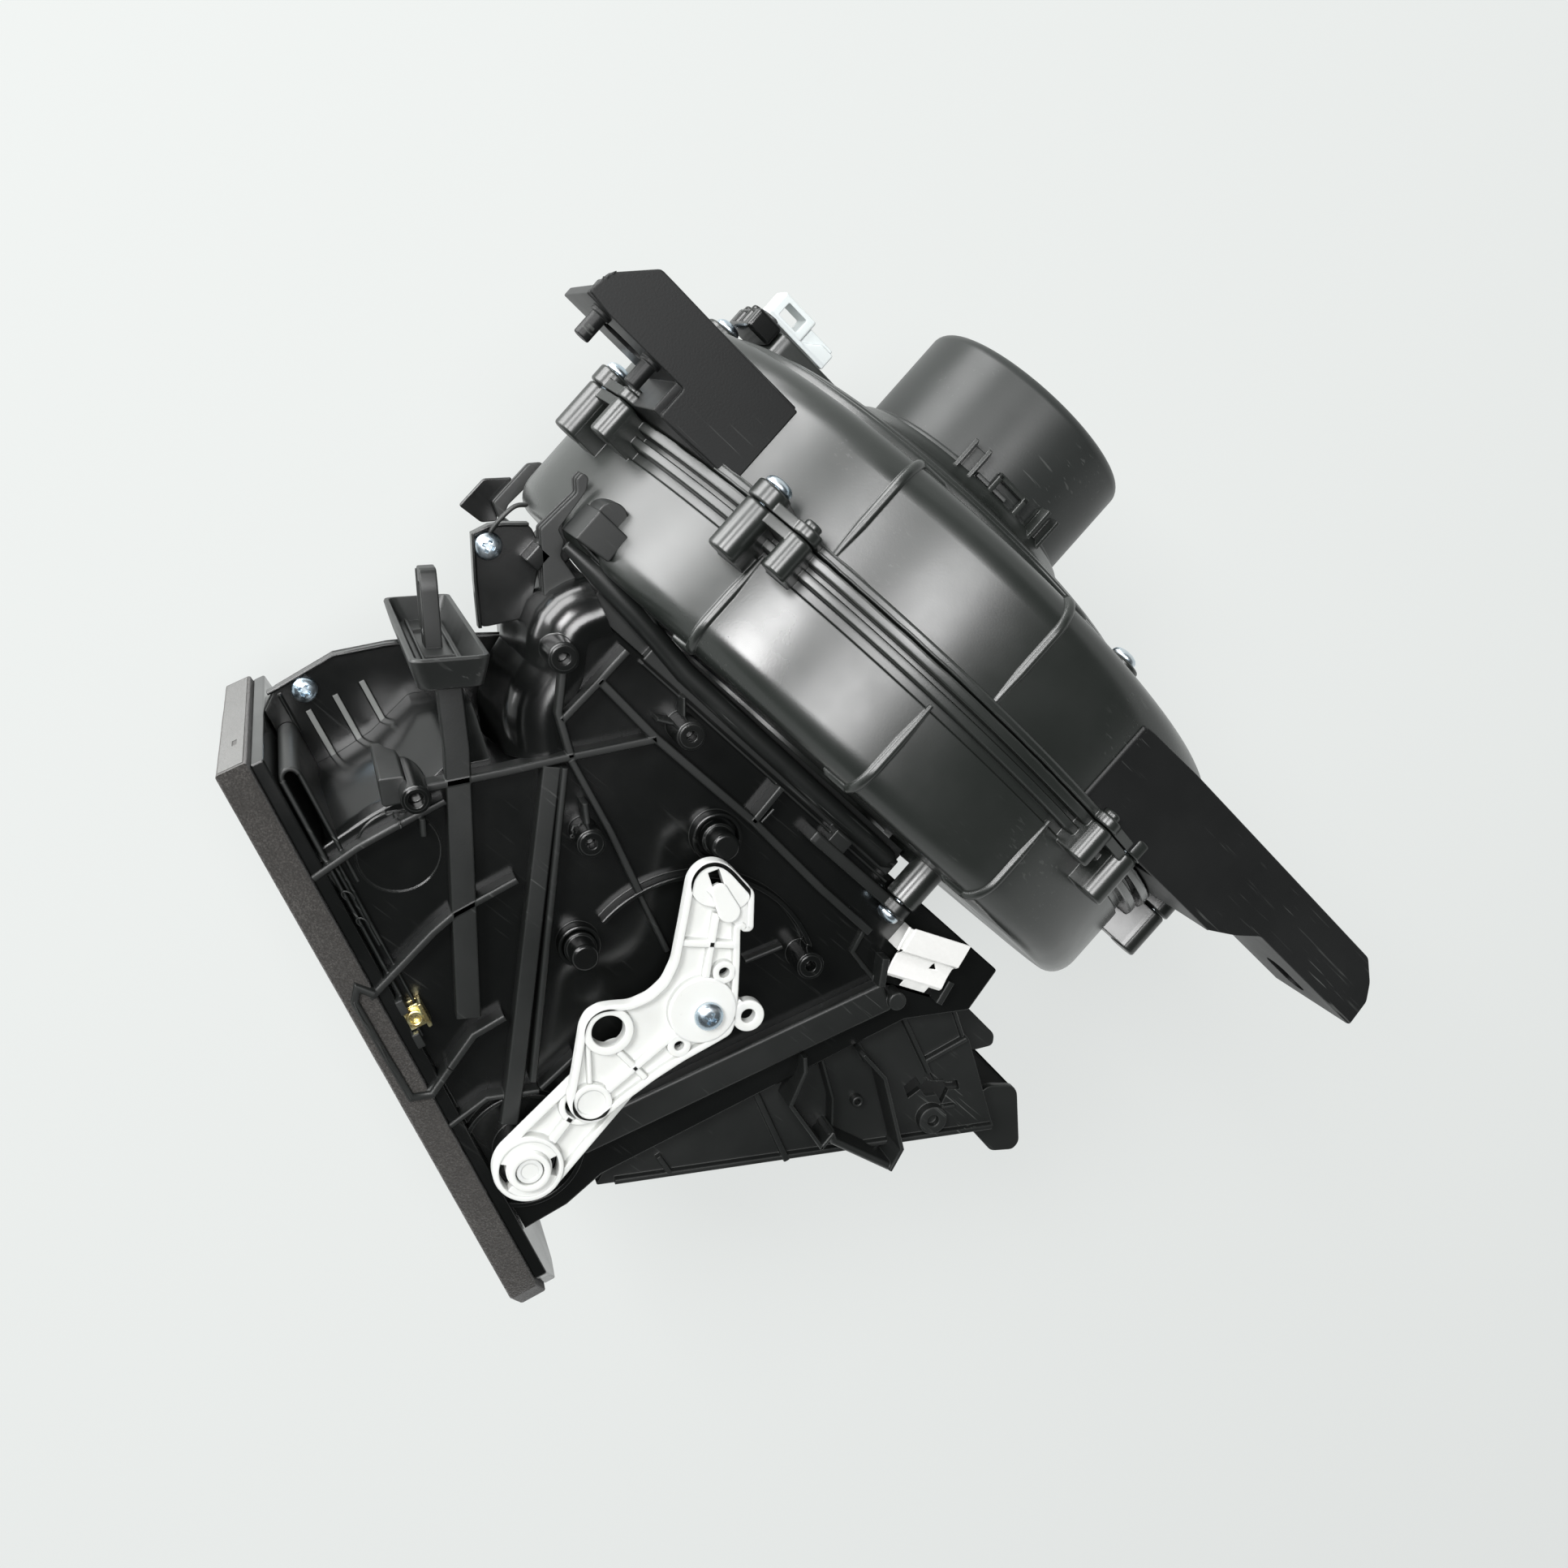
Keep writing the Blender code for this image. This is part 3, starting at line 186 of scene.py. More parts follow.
def nylon(name, colour):
    """Translucent white nylon with faint flow marks and specks of grime."""
    material, tree, shader, place = new_material(name)
    rounded = rounded_normal(tree, 0.5 * MM)
    cloud = noise_at(tree, place, 60.0, 4.0)
    fine = noise_at(tree, place, 1200.0, 2.0)
    specks = remap(tree, noise_at(tree, place, 420.0, 2.0), 0.70, 0.78)
    duller = rgba([0.93 * c for c in colour])
    base = colour_mix(tree, remap(tree, cloud, 0.35, 0.75), rgba(colour), duller)
    base = colour_mix(tree, math_node(tree, "MULTIPLY", specks, 0.25), base, rgba(GRIME))
    tree.links.new(base, shader.inputs["Base Color"])
    tree.links.new(remap(tree, cloud, 0.3, 0.7, 0.30, 0.42), shader.inputs["Roughness"])
    bump = add(tree, "Bump", None, Strength=0.08, Distance=0.1 * MM, Height=fine, Normal=rounded)
    tree.links.new(bump.outputs[0], shader.inputs["Normal"])
    shader.inputs["Subsurface Weight"].default_value = 0.25
    shader.inputs["Subsurface Radius"].default_value = (1.0, 0.95, 0.85)
    shader.inputs["Subsurface Scale"].default_value = 1.2 * MM
    return material


def metal(name, colour, second, roughness, metallic=1.0):
    """Plated or turned metal, with a patchy tint and fine scratches."""
    material, tree, shader, place = new_material(name)
    rounded = rounded_normal(tree, 0.2 * MM)
    cloud = noise_at(tree, place, 260.0, 3.0)
    lines = streaks(tree, place, (0.3, 0.5, 0.8), 2600.0, 0.05, 0.55, 0.2)
    base = colour_mix(tree, remap(tree, cloud, 0.35, 0.65), rgba(colour), rgba(second))
    tree.links.new(base, shader.inputs["Base Color"])
    gloss = remap(tree, cloud, 0.3, 0.7, roughness - 0.06, roughness + 0.10)
    gloss = math_node(tree, "ADD", gloss, math_node(tree, "MULTIPLY", lines, 0.15), clamp=True)
    tree.links.new(gloss, shader.inputs["Roughness"])
    height = math_node(tree, "ADD", lines, noise_at(tree, place, 900.0))
    bump = add(tree, "Bump", None, Strength=0.05, Distance=0.05 * MM, Height=height, Normal=rounded)
    tree.links.new(bump.outputs[0], shader.inputs["Normal"])
    shader.inputs["Metallic"].default_value = metallic
    return material


def foam(name, colour, pale):
    """Open-cell foam: pores, fuzz and paler specks."""
    material, tree, shader, place = new_material(name)
    cells = add(tree, "TexVoronoi", None, Vector=place, Scale=1500.0).outputs["Distance"]
    fine = noise_at(tree, place, 1900.0, 4.0, 0.7)
    cloud = noise_at(tree, place, 90.0, 4.0, 0.6)
    speckle = remap(tree, fine, 0.46, 0.70)
    tone = math_node(tree, "MULTIPLY", speckle, remap(tree, cloud, 0.3, 0.7, 0.35, 1.0))
    base = colour_mix(tree, tone, rgba(colour), rgba(pale))
    tree.links.new(base, shader.inputs["Base Color"])
    height = math_node(tree, "ADD", cells, math_node(tree, "MULTIPLY", fine, 1.2))
    bump = add(tree, "Bump", None, Strength=0.8, Distance=0.35 * MM, Height=height)
    tree.links.new(bump.outputs[0], shader.inputs["Normal"])
    shader.inputs["Roughness"].default_value = 0.95
    shader.inputs["Sheen Weight"].default_value = 0.25
    shader.inputs["Sheen Roughness"].default_value = 0.6
    shader.inputs["Specular IOR Level"].default_value = 0.25
    return material


# (colour, roughness, grain, scratches, waves, specular)
PLASTICS = {
    "housing_plastic": ((0.012, 0.014, 0.0125), 0.30, 0.10, 0.30, 0.25, 0.7),
    "case_plastic": ((0.0032, 0.0036, 0.0034), 0.20, 0.08, 0.10),
    "cover_plastic": ((0.020, 0.022, 0.021), 0.38, 0.10, 0.5, 0.0, 0.4),
    "wheel_plastic": ((0.020, 0.021, 0.021), 0.45, 0.10, 0.2),
    "rib_plastic": ((0.0075, 0.0085, 0.008), 0.42, 0.15, 0.5),
    # Pale grey for the louvre's slats: painted light, for the light that shows through the slots.
    "slat_plastic": ((0.13, 0.135, 0.13), 0.35, 0.10, 0.2),
    "ear_plastic": ((0.0075, 0.008, 0.008), 0.44, 0.22, 0.6, 0.0, 0.28),
}
NYLONS = {"lever_nylon": ((0.68, 0.69, 0.67),), "clip_nylon": ((0.62, 0.66, 0.66),)}
# (colour, second colour, roughness, how metallic)
METALS = {
    "zinc_screw": ((0.50, 0.62, 0.72), (0.66, 0.72, 0.76), 0.28),
    "yellow_zinc": ((0.80, 0.62, 0.26), (0.72, 0.70, 0.42), 0.25),
    "spring_steel": ((0.90, 0.90, 0.88), (0.82, 0.82, 0.80), 0.40, 0.3),
    "steel": ((0.55, 0.55, 0.54), (0.44, 0.44, 0.44), 0.35),
    "bronze": ((0.48, 0.32, 0.16), (0.38, 0.26, 0.14), 0.45),
    "copper": ((0.72, 0.36, 0.20), (0.60, 0.28, 0.14), 0.35),
}
# (colour, paler colour of the specks); the seal's end face has a paler copy, whose paleness is painted light
FOAMS = {
    "foam": ((0.018, 0.016, 0.014), (0.085, 0.080, 0.074)),
    "door_seal_foam": ((0.020, 0.020, 0.020), (0.060, 0.060, 0.060)),
    # A paler copy of the foam for the seal's end face: painted light, for the light that falls on that face.
    "foam_end": ((0.09, 0.09, 0.087), (0.17, 0.17, 0.16)),
}


def make_materials():
    made = {}
    for recipe, table in ((plastic, PLASTICS), (nylon, NYLONS), (metal, METALS), (foam, FOAMS)):
        for name, values in table.items():
            made[name] = recipe(name, *values)
    return made


MATERIALS = make_materials()
STAND_INS = {"ferrite": "case_plastic", "carbon": "cover_plastic"}


def look(slot):
    return MATERIALS[STAND_INS.get(slot, slot)]


def dress_nodes():
    """Every carried-over node gets its slot's finish."""
    for name, obj in NODES.items():
        obj.data.materials.clear()
        obj.data.materials.append(look(SLOT_OF[name]))


# Camera and studio.

SENSOR_WIDTH = 36.0
LENS = 37.27
# Columns: the camera's right, up and backward directions, then its place.
CAMERA_ROWS = (
    (0.6884, -0.6111, -0.3907, -0.2079),
    (0.6639, 0.7478, 0.0, 0.0173),
    (0.2922, -0.2594, 0.9205, 0.6426),
    (0.0, 0.0, 0.0, 1.0),
)
SWEEP_REACH = 6.0
SWEEP_COVE = 1.2
SWEEP_HEIGHT = 3.2
SWEEP_SIDES = 48
FLOOR_Z = -0.001
FLOOR_GLOW = 0.63
WORLD_GLOW = 0.07
# (name, place, target, size, watts)
LIGHTS = (
    ("ceiling", (-0.5, 0.12, 2.05), (0.0, 0.0, 0.1), (0.8, 0.6), 28.0),
    ("left_high", (-1.6, 0.0, 1.75), (0.0, 0.0, 0.15), (0.8, 0.6), 38.0),
    ("left_window", (-1.7, 0.12, 0.36), (0.0, 0.0, 0.15), (1.3, 0.6), 30.0),
    ("left_sheet", (-0.95, 0.1, 0.004), (-0.95, 0.1, 1.0), (0.9, 0.9), 22.0),
)


def make_camera():
    data = bpy.data.cameras.new("camera")
    data.sensor_width = SENSOR_WIDTH
    data.lens = LENS
    data.clip_start = 0.01
    camera = bpy.data.objects.new("camera", data)
    bpy.context.scene.collection.objects.link(camera)
    camera.matrix_world = Matrix(CAMERA_ROWS)
    bpy.context.scene.camera = camera


def area_light(name, place, target, size, power):
    data = bpy.data.lights.new(name, "AREA")
    data.shape = "RECTANGLE"
    data.size, data.size_y = size
    data.energy = power
    light = bpy.data.objects.new(name, data)
    bpy.context.scene.collection.objects.link(light)
    light.location = place
    light.visible_camera = False
    light.rotation_euler = (Vector(target) - Vector(place)).to_track_quat("-Z", "Y").to_euler()


def paper():
    """Pale paper that glows a little, so that it stays light where no lamp reaches."""
    material, tree, shader, place = new_material("paper")
    fine = noise_at(tree, place, 3.0, 2.0)
    base = colour_mix(tree, fine, rgba((0.155, 0.16, 0.155)), rgba((0.165, 0.17, 0.165)))
    tree.links.new(base, shader.inputs["Base Color"])
    shader.inputs["Roughness"].default_value = 0.9
    shader.inputs["Specular IOR Level"].default_value = 0.0
    shader.inputs["Emission Color"].default_value = rgba((0.958, 0.985, 0.975))
    shader.inputs["Emission Strength"].default_value = FLOOR_GLOW
    return material


def make_floor():
    """A round studio floor that curves up into a wall."""
    flat_r = SWEEP_REACH - SWEEP_COVE
    profile = [(flat_r + SWEEP_COVE * math.sin(t), SWEEP_COVE - SWEEP_COVE * math.cos(t))
               for t in np.linspace(0, math.pi / 2, 9)]
    profile.append((SWEEP_REACH, SWEEP_HEIGHT))
    corners = [(0.0, 0.0, FLOOR_Z)]
    faces = []
    for i in range(SWEEP_SIDES):
        turn = 2 * math.pi * i / SWEEP_SIDES
        corners += [(r * math.cos(turn), r * math.sin(turn), z + FLOOR_Z) for r, z in profile]
        here = 1 + i * len(profile)
        beyond = 1 + (i + 1) % SWEEP_SIDES * len(profile)
        faces.append((0, here, beyond))
        for j in range(len(profile) - 1):
            faces.append((here + j, here + j + 1, beyond + j + 1, beyond + j))
    mesh = bpy.data.meshes.new("floor")
    mesh.from_pydata(corners, [], faces)
    mesh.materials.append(paper())
    floor = bpy.data.objects.new("floor", mesh)
    bpy.context.scene.collection.objects.link(floor)
    floor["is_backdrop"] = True


def make_studio():
    make_floor()
    world = bpy.data.worlds.new("studio")
    world.use_nodes = True
    background = world.node_tree.nodes["Background"]
    background.inputs[0].default_value = (0.95, 0.99, 1.0, 1.0)
    background.inputs[1].default_value = WORLD_GLOW
    bpy.context.scene.world = world
    for light in LIGHTS:
        area_light(*light)
    bpy.context.scene.view_settings.view_transform = "Standard"


dress_nodes()

# Shapes: each is a bmesh in millimetres from the motor's axis.


def placed(axis, first, second, along):
    """The point at (first, second) across an axis and at a distance along it."""
    if axis == "X":
        return (along, first, second)
    if axis == "Y":
        return (first, along, second)
    return (first, second, along)


def polar(radius, angle):
    return (radius * math.cos(math.radians(angle)), radius * math.sin(math.radians(angle)))


def finished(shape):
    bmesh.ops.remove_doubles(shape, verts=shape.verts, dist=1e-4)
    bmesh.ops.recalc_face_normals(shape, faces=shape.faces)
    return shape


def loft(loops, closed=False):
    """A skin through loops of equal length, capped at its ends or joined end to end."""
    shape = bmesh.new()
    rings = [[shape.verts.new(point) for point in loop] for loop in loops]
    pairs = list(zip(rings, rings[1:]))
    if closed:
        pairs.append((rings[-1], rings[0]))
    for ring_a, ring_b in pairs:
        for i in range(len(ring_a)):
            j = (i + 1) % len(ring_a)
            shape.faces.new((ring_a[i], ring_a[j], ring_b[j], ring_b[i]))
    if not closed:
        shape.faces.new(rings[0])
        shape.faces.new(rings[-1])
    return finished(shape)


def softened(shape, width=0.5, segments=2, sharper_than=28.0):
    """The shape with its sharp edges rounded over."""
    limit = math.radians(sharper_than)
    edges = [e for e in shape.edges if len(e.link_faces) == 2 and e.calc_face_angle(0.0) > limit]
    bmesh.ops.bevel(
        shape, geom=edges, offset=width, segments=segments, profile=0.5, affect="EDGES",
        clamp_overlap=True,
    )
    return shape


def prism(outline, low, high, axis="Z"):
    return loft([[placed(axis, u, v, w) for u, v in outline] for w in (low, high)])


def block(low, high):
    outline = [(low[0], low[1]), (high[0], low[1]), (high[0], high[1]), (low[0], high[1])]
    return prism(outline, low[2], high[2])


def soft_block(low, high, width=0.5):
    return softened(block(low, high), width)


def circle(centre, radius, segments=40, start=0.0, sweep=360.0):
    count = segments if sweep >= 360.0 else segments + 1
    turns = [math.radians(start + sweep * i / segments) for i in range(count)]
    return [(centre[0] + radius * math.cos(t), centre[1] + radius * math.sin(t)) for t in turns]


def turned(profile, centre=(0.0, 0.0), axis="Y", segments=64):
    """A closed profile of (radius, along) points turned a full circle."""
    rings = []
    for i in range(segments):
        turn = 2.0 * math.pi * i / segments
        rings.append([
            placed(axis, centre[0] + r * math.cos(turn), centre[1] + r * math.sin(turn), along)
            for r, along in profile
        ])
    return loft(rings, closed=True)


def stepped(profile, centre=(0.0, 0.0), axis="Y", segments=40):
    """A solid turned piece from (radius, along) points, one circle for each."""
    return loft([
        [placed(axis, u, v, along) for u, v in circle(centre, radius, segments)]
        for radius, along in profile
    ])


def cylinder(centre, radius, low, high, axis="Z", segments=40, edge=0.0):
    """A round bar; edge rounds both of its rims."""
    if not edge:
        return stepped([(radius, low), (radius, high)], centre, axis, segments)
    turns = [math.radians(90.0 * i / 4) for i in range(5)]
    near = [(radius - edge + edge * math.sin(t), low + edge - edge * math.cos(t)) for t in turns]
    far = [(radius - edge + edge * math.cos(t), high - edge + edge * math.sin(t)) for t in turns]
    return stepped(near + far, centre, axis, segments)


def ring(centre, outer, inner, low, high, axis="Z", segments=48, edge=0.3):
    """A tube or washer with softened rims."""
    e = min(edge, (outer - inner) * 0.4, (high - low) * 0.4)
    profile = [
        (outer - e, low), (outer - 0.3 * e, low + 0.3 * e), (outer, low + e), (outer, high - e),
        (outer - 0.3 * e, high - 0.3 * e), (outer - e, high), (inner + e, high),
        (inner + 0.3 * e, high - 0.3 * e), (inner, high - e), (inner, low + e),
        (inner + 0.3 * e, low + 0.3 * e), (inner + e, low),
    ]
    return turned(profile, centre, axis, segments)


def sweep(points, radius, sides=10, flat=1.0):
    """A round or flattened bead along a run of points, thinner at both ends."""
    path = [Vector(p) for p in points]
    end = len(path) - 1
    loops = []
    for i, point in enumerate(path):
        along = (path[min(i + 1, end)] - path[max(i - 1, 0)]).normalized()
        side = along.cross(Vector((0, 0, 1)))
        if side.length < 1e-4:
            side = along.cross(Vector((1, 0, 0)))
        side.normalize()
        rise = side.cross(along)
        size = radius * 0.45 if i in (0, end) else radius
        loop = []
        for j in range(sides):
            t = 2 * math.pi * j / sides
            loop.append(point + side * size * math.cos(t) + rise * size * flat * math.sin(t))
        loops.append(loop)
    return loft(loops)


def smooth_run(points, steps=6):
    """A Catmull-Rom curve through a few points."""
    path = [Vector(p) for p in points]
    path = [2 * path[0] - path[1]] + path + [2 * path[-1] - path[-2]]
    run = []
    for a, b, c, d in zip(path, path[1:], path[2:], path[3:]):
        for i in range(steps):
            t = i / steps
            run.append(0.5 * (
                2 * b + (c - a) * t + (2 * a - 5 * b + 4 * c - d) * t * t
                + (3 * b - a - 3 * c + d) * t ** 3
            ))
    run.append(path[-2])
    return run


def beam(start, end, width, low, high):
    """A straight bar between two points of the XY plane."""
    along = Vector((end[0] - start[0], end[1] - start[1])).normalized()
    side = Vector((-along.y, along.x)) * width / 2.0
    corners = ((start, 1), (start, -1), (end, -1), (end, 1))
    return prism([(p[0] + k * side.x, p[1] + k * side.y) for p, k in corners], low, high)


def mitres(path, closed=False):
    """For each point of a run, the step to its left that keeps a wall's width through the turn."""
    count = len(path)
    sides = []
    for i, point in enumerate(path):
        before = path[i - 1] if (i or closed) else 2 * point - path[1]
        after = path[(i + 1) % count] if (i < count - 1 or closed) else 2 * point - path[-2]
        first = (point - before).normalized()
        second = (after - point).normalized()
        first = Vector((-first.y, first.x))
        second = Vector((-second.y, second.x))
        sides.append((first + second) / max(0.35, 1.0 + first.dot(second)))
    return sides


def ribbon(points, width, low, high, edge=0.5, closed=False):
    """A wall of even width that follows a run of points in the XY plane, with mitred turns."""
    path = [Vector((p[0], p[1])) for p in points]
    e = min(edge, width * 0.45)
    loops = []
    for point, mitre in zip(path, mitres(path, closed)):
        side = mitre * width / 2.0
        inner = side * (1.0 - 2.0 * e / width)
        loops.append([
            (*(point - side), low), (*(point + side), low), (*(point + side), high - e),
            (*(point + (side + inner) / 2), high - 0.25 * e), (*(point + inner), high),
            (*(point - inner), high), (*(point - (side + inner) / 2), high - 0.25 * e),
            (*(point - side), high - e),
        ])
    return loft(loops, closed)


def moved(shape, offset=(0, 0, 0), angle=0.0, axis="Z"):
    turn = Matrix.Rotation(math.radians(angle), 4, axis)
    bmesh.ops.transform(shape, matrix=Matrix.Translation(offset) @ turn, verts=shape.verts)
    return shape


def rounded(outline, radius, segments=4):
    """The outline with each corner replaced by a short curve."""
    points = []
    count = len(outline)
    for i in range(count):
        corner = Vector(outline[i])
        before = Vector(outline[i - 1]) - corner
        after = Vector(outline[(i + 1) % count]) - corner
        reach = min(radius, before.length * 0.45, after.length * 0.45)
        first = corner + before.normalized() * reach
        last = corner + after.normalized() * reach
        for step in range(segments + 1):
            t = step / segments
            points.append(first * (1 - t) ** 2 + corner * 2 * t * (1 - t) + last * t * t)
    return points


def joined(shapes):
    whole = bmesh.new()
    for shape in shapes:
        part = bpy.data.meshes.new("part")
        shape.to_mesh(part)
        whole.from_mesh(part)
        bpy.data.meshes.remove(part)
        shape.free()
    return whole


def as_object(shape, name):
    mesh = bpy.data.meshes.new(name)
    shape.to_mesh(mesh)
    shape.free()
    obj = bpy.data.objects.new(name, mesh)
    bpy.context.scene.collection.objects.link(obj)
    return obj


def boolean(shapes, tools):
    """The shapes, joined, less the tools; one exact Boolean, which uses up both."""
    body = as_object(joined(shapes), "body")
    tool = as_object(joined(tools), "tool")
    step = body.modifiers.new("step", "BOOLEAN")
    step.operation = "DIFFERENCE"
    step.object = tool
    step.use_self = True
    bpy.context.view_layer.update()
    graph = bpy.context.evaluated_depsgraph_get()
    result = bpy.data.meshes.new_from_object(body.evaluated_get(graph))
    shape = bmesh.new()
    shape.from_mesh(result)
    for obj in (body, tool):
        old = obj.data
        bpy.data.objects.remove(obj)
        bpy.data.meshes.remove(old)
    bpy.data.meshes.remove(result)
    return shape


def piece(name, slot, shapes, stands_for=(), body=None, smooth=32.0, material=None, weighted=True):
    """A visible piece from shapes, riding on its body and standing for its CAD nodes."""
    whole = joined(shapes)
    whole.transform(Matrix.Translation(MOTOR_AT) @ Matrix.Scale(MM, 4))
    obj = as_object(whole, name)
    obj.data.materials.append(material or look(slot))
    obj.data.shade_smooth()
    obj.data.set_sharp_from_angle(angle=math.radians(smooth))
    if weighted:
        modifier = obj.modifiers.new("weighted_normal", "WEIGHTED_NORMAL")
        modifier.keep_sharp = True
    nodes = [stands_for] if isinstance(stands_for, str) else list(stands_for)
    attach(obj, body or BODY_OF[nodes[0]])
    if nodes:
        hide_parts(*nodes)
    return obj


def extra(name, shapes, smooth, material):
    """A visible piece of the case's plastic that no CAD node stands for."""
    return piece(name, "case_plastic", shapes, (), "housing", smooth, MATERIALS[material])


# Scroll housing.

SCROLL_FIRST_R = 98.0
SCROLL_LAST_R = 136.0
SCROLL_FIRST_ANGLE = 290.0
SCROLL_GROWTH = 1.2
SCROLL_STEP = 2.5
MOTOR_SIDE_Y = 38.0
INLET_SIDE_Y = -40.0
OUTLET_LEFT_X = 62.0
OUTLET_Z = -130.0
OUTLET_NECK_Z = -112.0
INLET_HOLE_R = 54.0
MOTOR_HOLE_R = 80.0
WALL = 2.5
STRAP_AT = (50.0, 66.5)
# (angle of the screw boss, angle of the sleeve beside it, how far both stand out, head radius)
BOSSES = [
    (163.5, 155.5, 9.5, 4.2), (127.5, 121.0, 9.5, 4.2), (58.5, 66.0, 5.5, 3.2),
    (24.0, 16.0, 9.5, 4.2),
]
BOSS_R = 4.8
SLEEVE_R = 4.0
BEAD_R = 1.6
BEAD_SUNK = 0.5


def scroll_radius(angle):
    grown = (SCROLL_FIRST_ANGLE - angle) / SCROLL_FIRST_ANGLE
    return SCROLL_FIRST_R + (SCROLL_LAST_R - SCROLL_FIRST_R) * grown**SCROLL_GROWTH


def on_scroll(angle, out=0.0):
    return polar(scroll_radius(angle) + out, angle)


def scroll_outline(out, outlet_z=OUTLET_Z):
    count = round(SCROLL_FIRST_ANGLE / SCROLL_STEP)
    points = [on_scroll(SCROLL_FIRST_ANGLE - i * SCROLL_STEP, out) for i in range(count + 1)]
    points.append((SCROLL_LAST_R + out, outlet_z))
    points.append((OUTLET_LEFT_X - out, outlet_z))
    points.append((OUTLET_LEFT_X - out, OUTLET_NECK_Z - out / 2))
    return points


def scroll_solid(sections, outlet_z=OUTLET_Z):
    return loft([[(x, y, z) for x, z in scroll_outline(out, outlet_z)] for out, y in sections])


def shoulder(start, end):
    """Quarter of an ellipse between two (offset, Y) points, leaving the first along Y."""
    run = []
    for i in range(10):
        t = math.radians(90.0 * i / 9)
        out = start[0] + (end[0] - start[0]) * (1.0 - math.cos(t))
        run.append((out, start[1] + (end[1] - start[1]) * math.sin(t)))
    return run


def scroll_bead(angle, profile, tail):
    """A raised line that crosses the wall at one angle, turns over the shoulder and bends off."""
    points = []
    for out, y in profile:
        x, z = on_scroll(angle, out - BEAD_SUNK)
        points.append((x, y, z))
    last, y = profile[-1]
    for i in range(1, 7):
        x, z = on_scroll(angle - tail * i / 6, last - BEAD_SUNK - 0.4 * i)
        points.append((x, y, z))
    return sweep(points, BEAD_R, 12)


def tied_boss(angle, out, radius, low, high, edge=0.7):
    """A round boss with softened rims, tied to the scroll's wall by a web."""
    web = soft_block((-radius, low + 0.4, -2.0), (radius, high - 0.4, out), 0.4)
    x, z = on_scroll(angle)
    return [
        cylinder(on_scroll(angle, out), radius, low, high, "Y", 40, edge),
        moved(web, (x, 0.0, z), 90.0 - angle, "Y"),
    ]


def boss_plates(low, high, grow):
    """The flat tongue of the flange that carries each boss and its sleeve."""
    plates = []
    for angle, sleeve_angle, out, _ in BOSSES:
        first, last = sorted((angle, sleeve_angle))
        outer = [on_scroll(first + (last - first) * i / 8, out + grow * 0.4) for i in range(9)]
        inner = [on_scroll(last - (last - first) * i / 8, -1.0) for i in range(9)]
        plates.append(softened(prism(outer + inner, low, high, "Y"), 0.3))
    return plates


def flange_line(out, y, angle, sweep_angle, radius, seed):
    """A ragged line of flash along the flange."""
    rng = np.random.default_rng(seed)
    points = []
    steps = max(6, int(abs(sweep_angle) / 1.5))
    for i in range(steps + 1):
        wobble = rng.uniform(-0.12, 0.12, 2)
        x, z = on_scroll(angle + sweep_angle * i / steps, out + wobble[0])
        points.append((x, y + wobble[1], z))
    return sweep(points, radius, 6)


def scroll_lip(profile, low):
    """A band that runs all round the scroll's wall; low is where its cut-out begins."""
    return boolean([scroll_solid(profile)], [scroll_solid([(-1.0, low), (-1.0, 6)])])


def outlet_foot(low, high, inner_low, inner_high):
    """The collar round the outlet, from low to high in Y and open inside."""
    x_low, x_high = OUTLET_LEFT_X - 5.0, SCROLL_LAST_R + 5.0
    foot = soft_block((x_low, low, OUTLET_Z), (x_high, high, OUTLET_Z + 4), 0.6)
    inside = block((x_low + 8, inner_low, OUTLET_Z - 5), (x_high - 8, inner_high, OUTLET_Z + 9))
    return boolean([foot], [inside])


def scroll_motor_half():
    top = MOTOR_SIDE_Y
    profile = [(0, 0.15), (0, 14)] + shoulder((0, 27.5), (-9.5, top))
    body = scroll_solid(profile + [(-11.0, top)])
    cavity = scroll_solid(
        [(-2.5, -5), (-2.5, 27), (-3.8, 31.5), (-7, 34.4), (-12, top - WALL)], OUTLET_Z - 20
    )
    hole = cylinder((0, 0), MOTOR_HOLE_R, 30, 42, "Y", 64)
    shapes = [boolean([body], [cavity, hole])]
    shapes.append(scroll_lip([(3.9, 0.15), (4.5, 0.5), (4.5, 2.4), (4.1, 3.0), (3.2, 3.2)], -3))
    bead = [(0, 0.8), (0, 14)] + shoulder((0, 27.5), (-8.5, top))
    shapes += [scroll_bead(angle, bead, 5.0) for angle in (117.5, 89.5)]
    for angle, sleeve_angle, out, _ in BOSSES:
        shapes += tied_boss(angle, out, BOSS_R + 0.6, 0.15, 5.5)
        shapes += tied_boss(sleeve_angle, out, SLEEVE_R + 0.4, 0.15, 3.4)
        shapes.append(cylinder(on_scroll(sleeve_angle, out), 2.6, 2.0, 5.2, "Y", 32, 0.8))
    shapes += boss_plates(0.2, 3.2, 8.0)
    shapes.append(flange_line(4.4, 0.7, 150, -115, 0.28, 3))
    shapes.append(flange_line(4.3, 3.0, 152, -40, 0.22, 5))
    shapes.append(outlet_foot(0.15, top + 4, -5, top - 2))
    return piece("scroll_motor_shell", "housing_plastic", shapes, "scroll_motor_half")


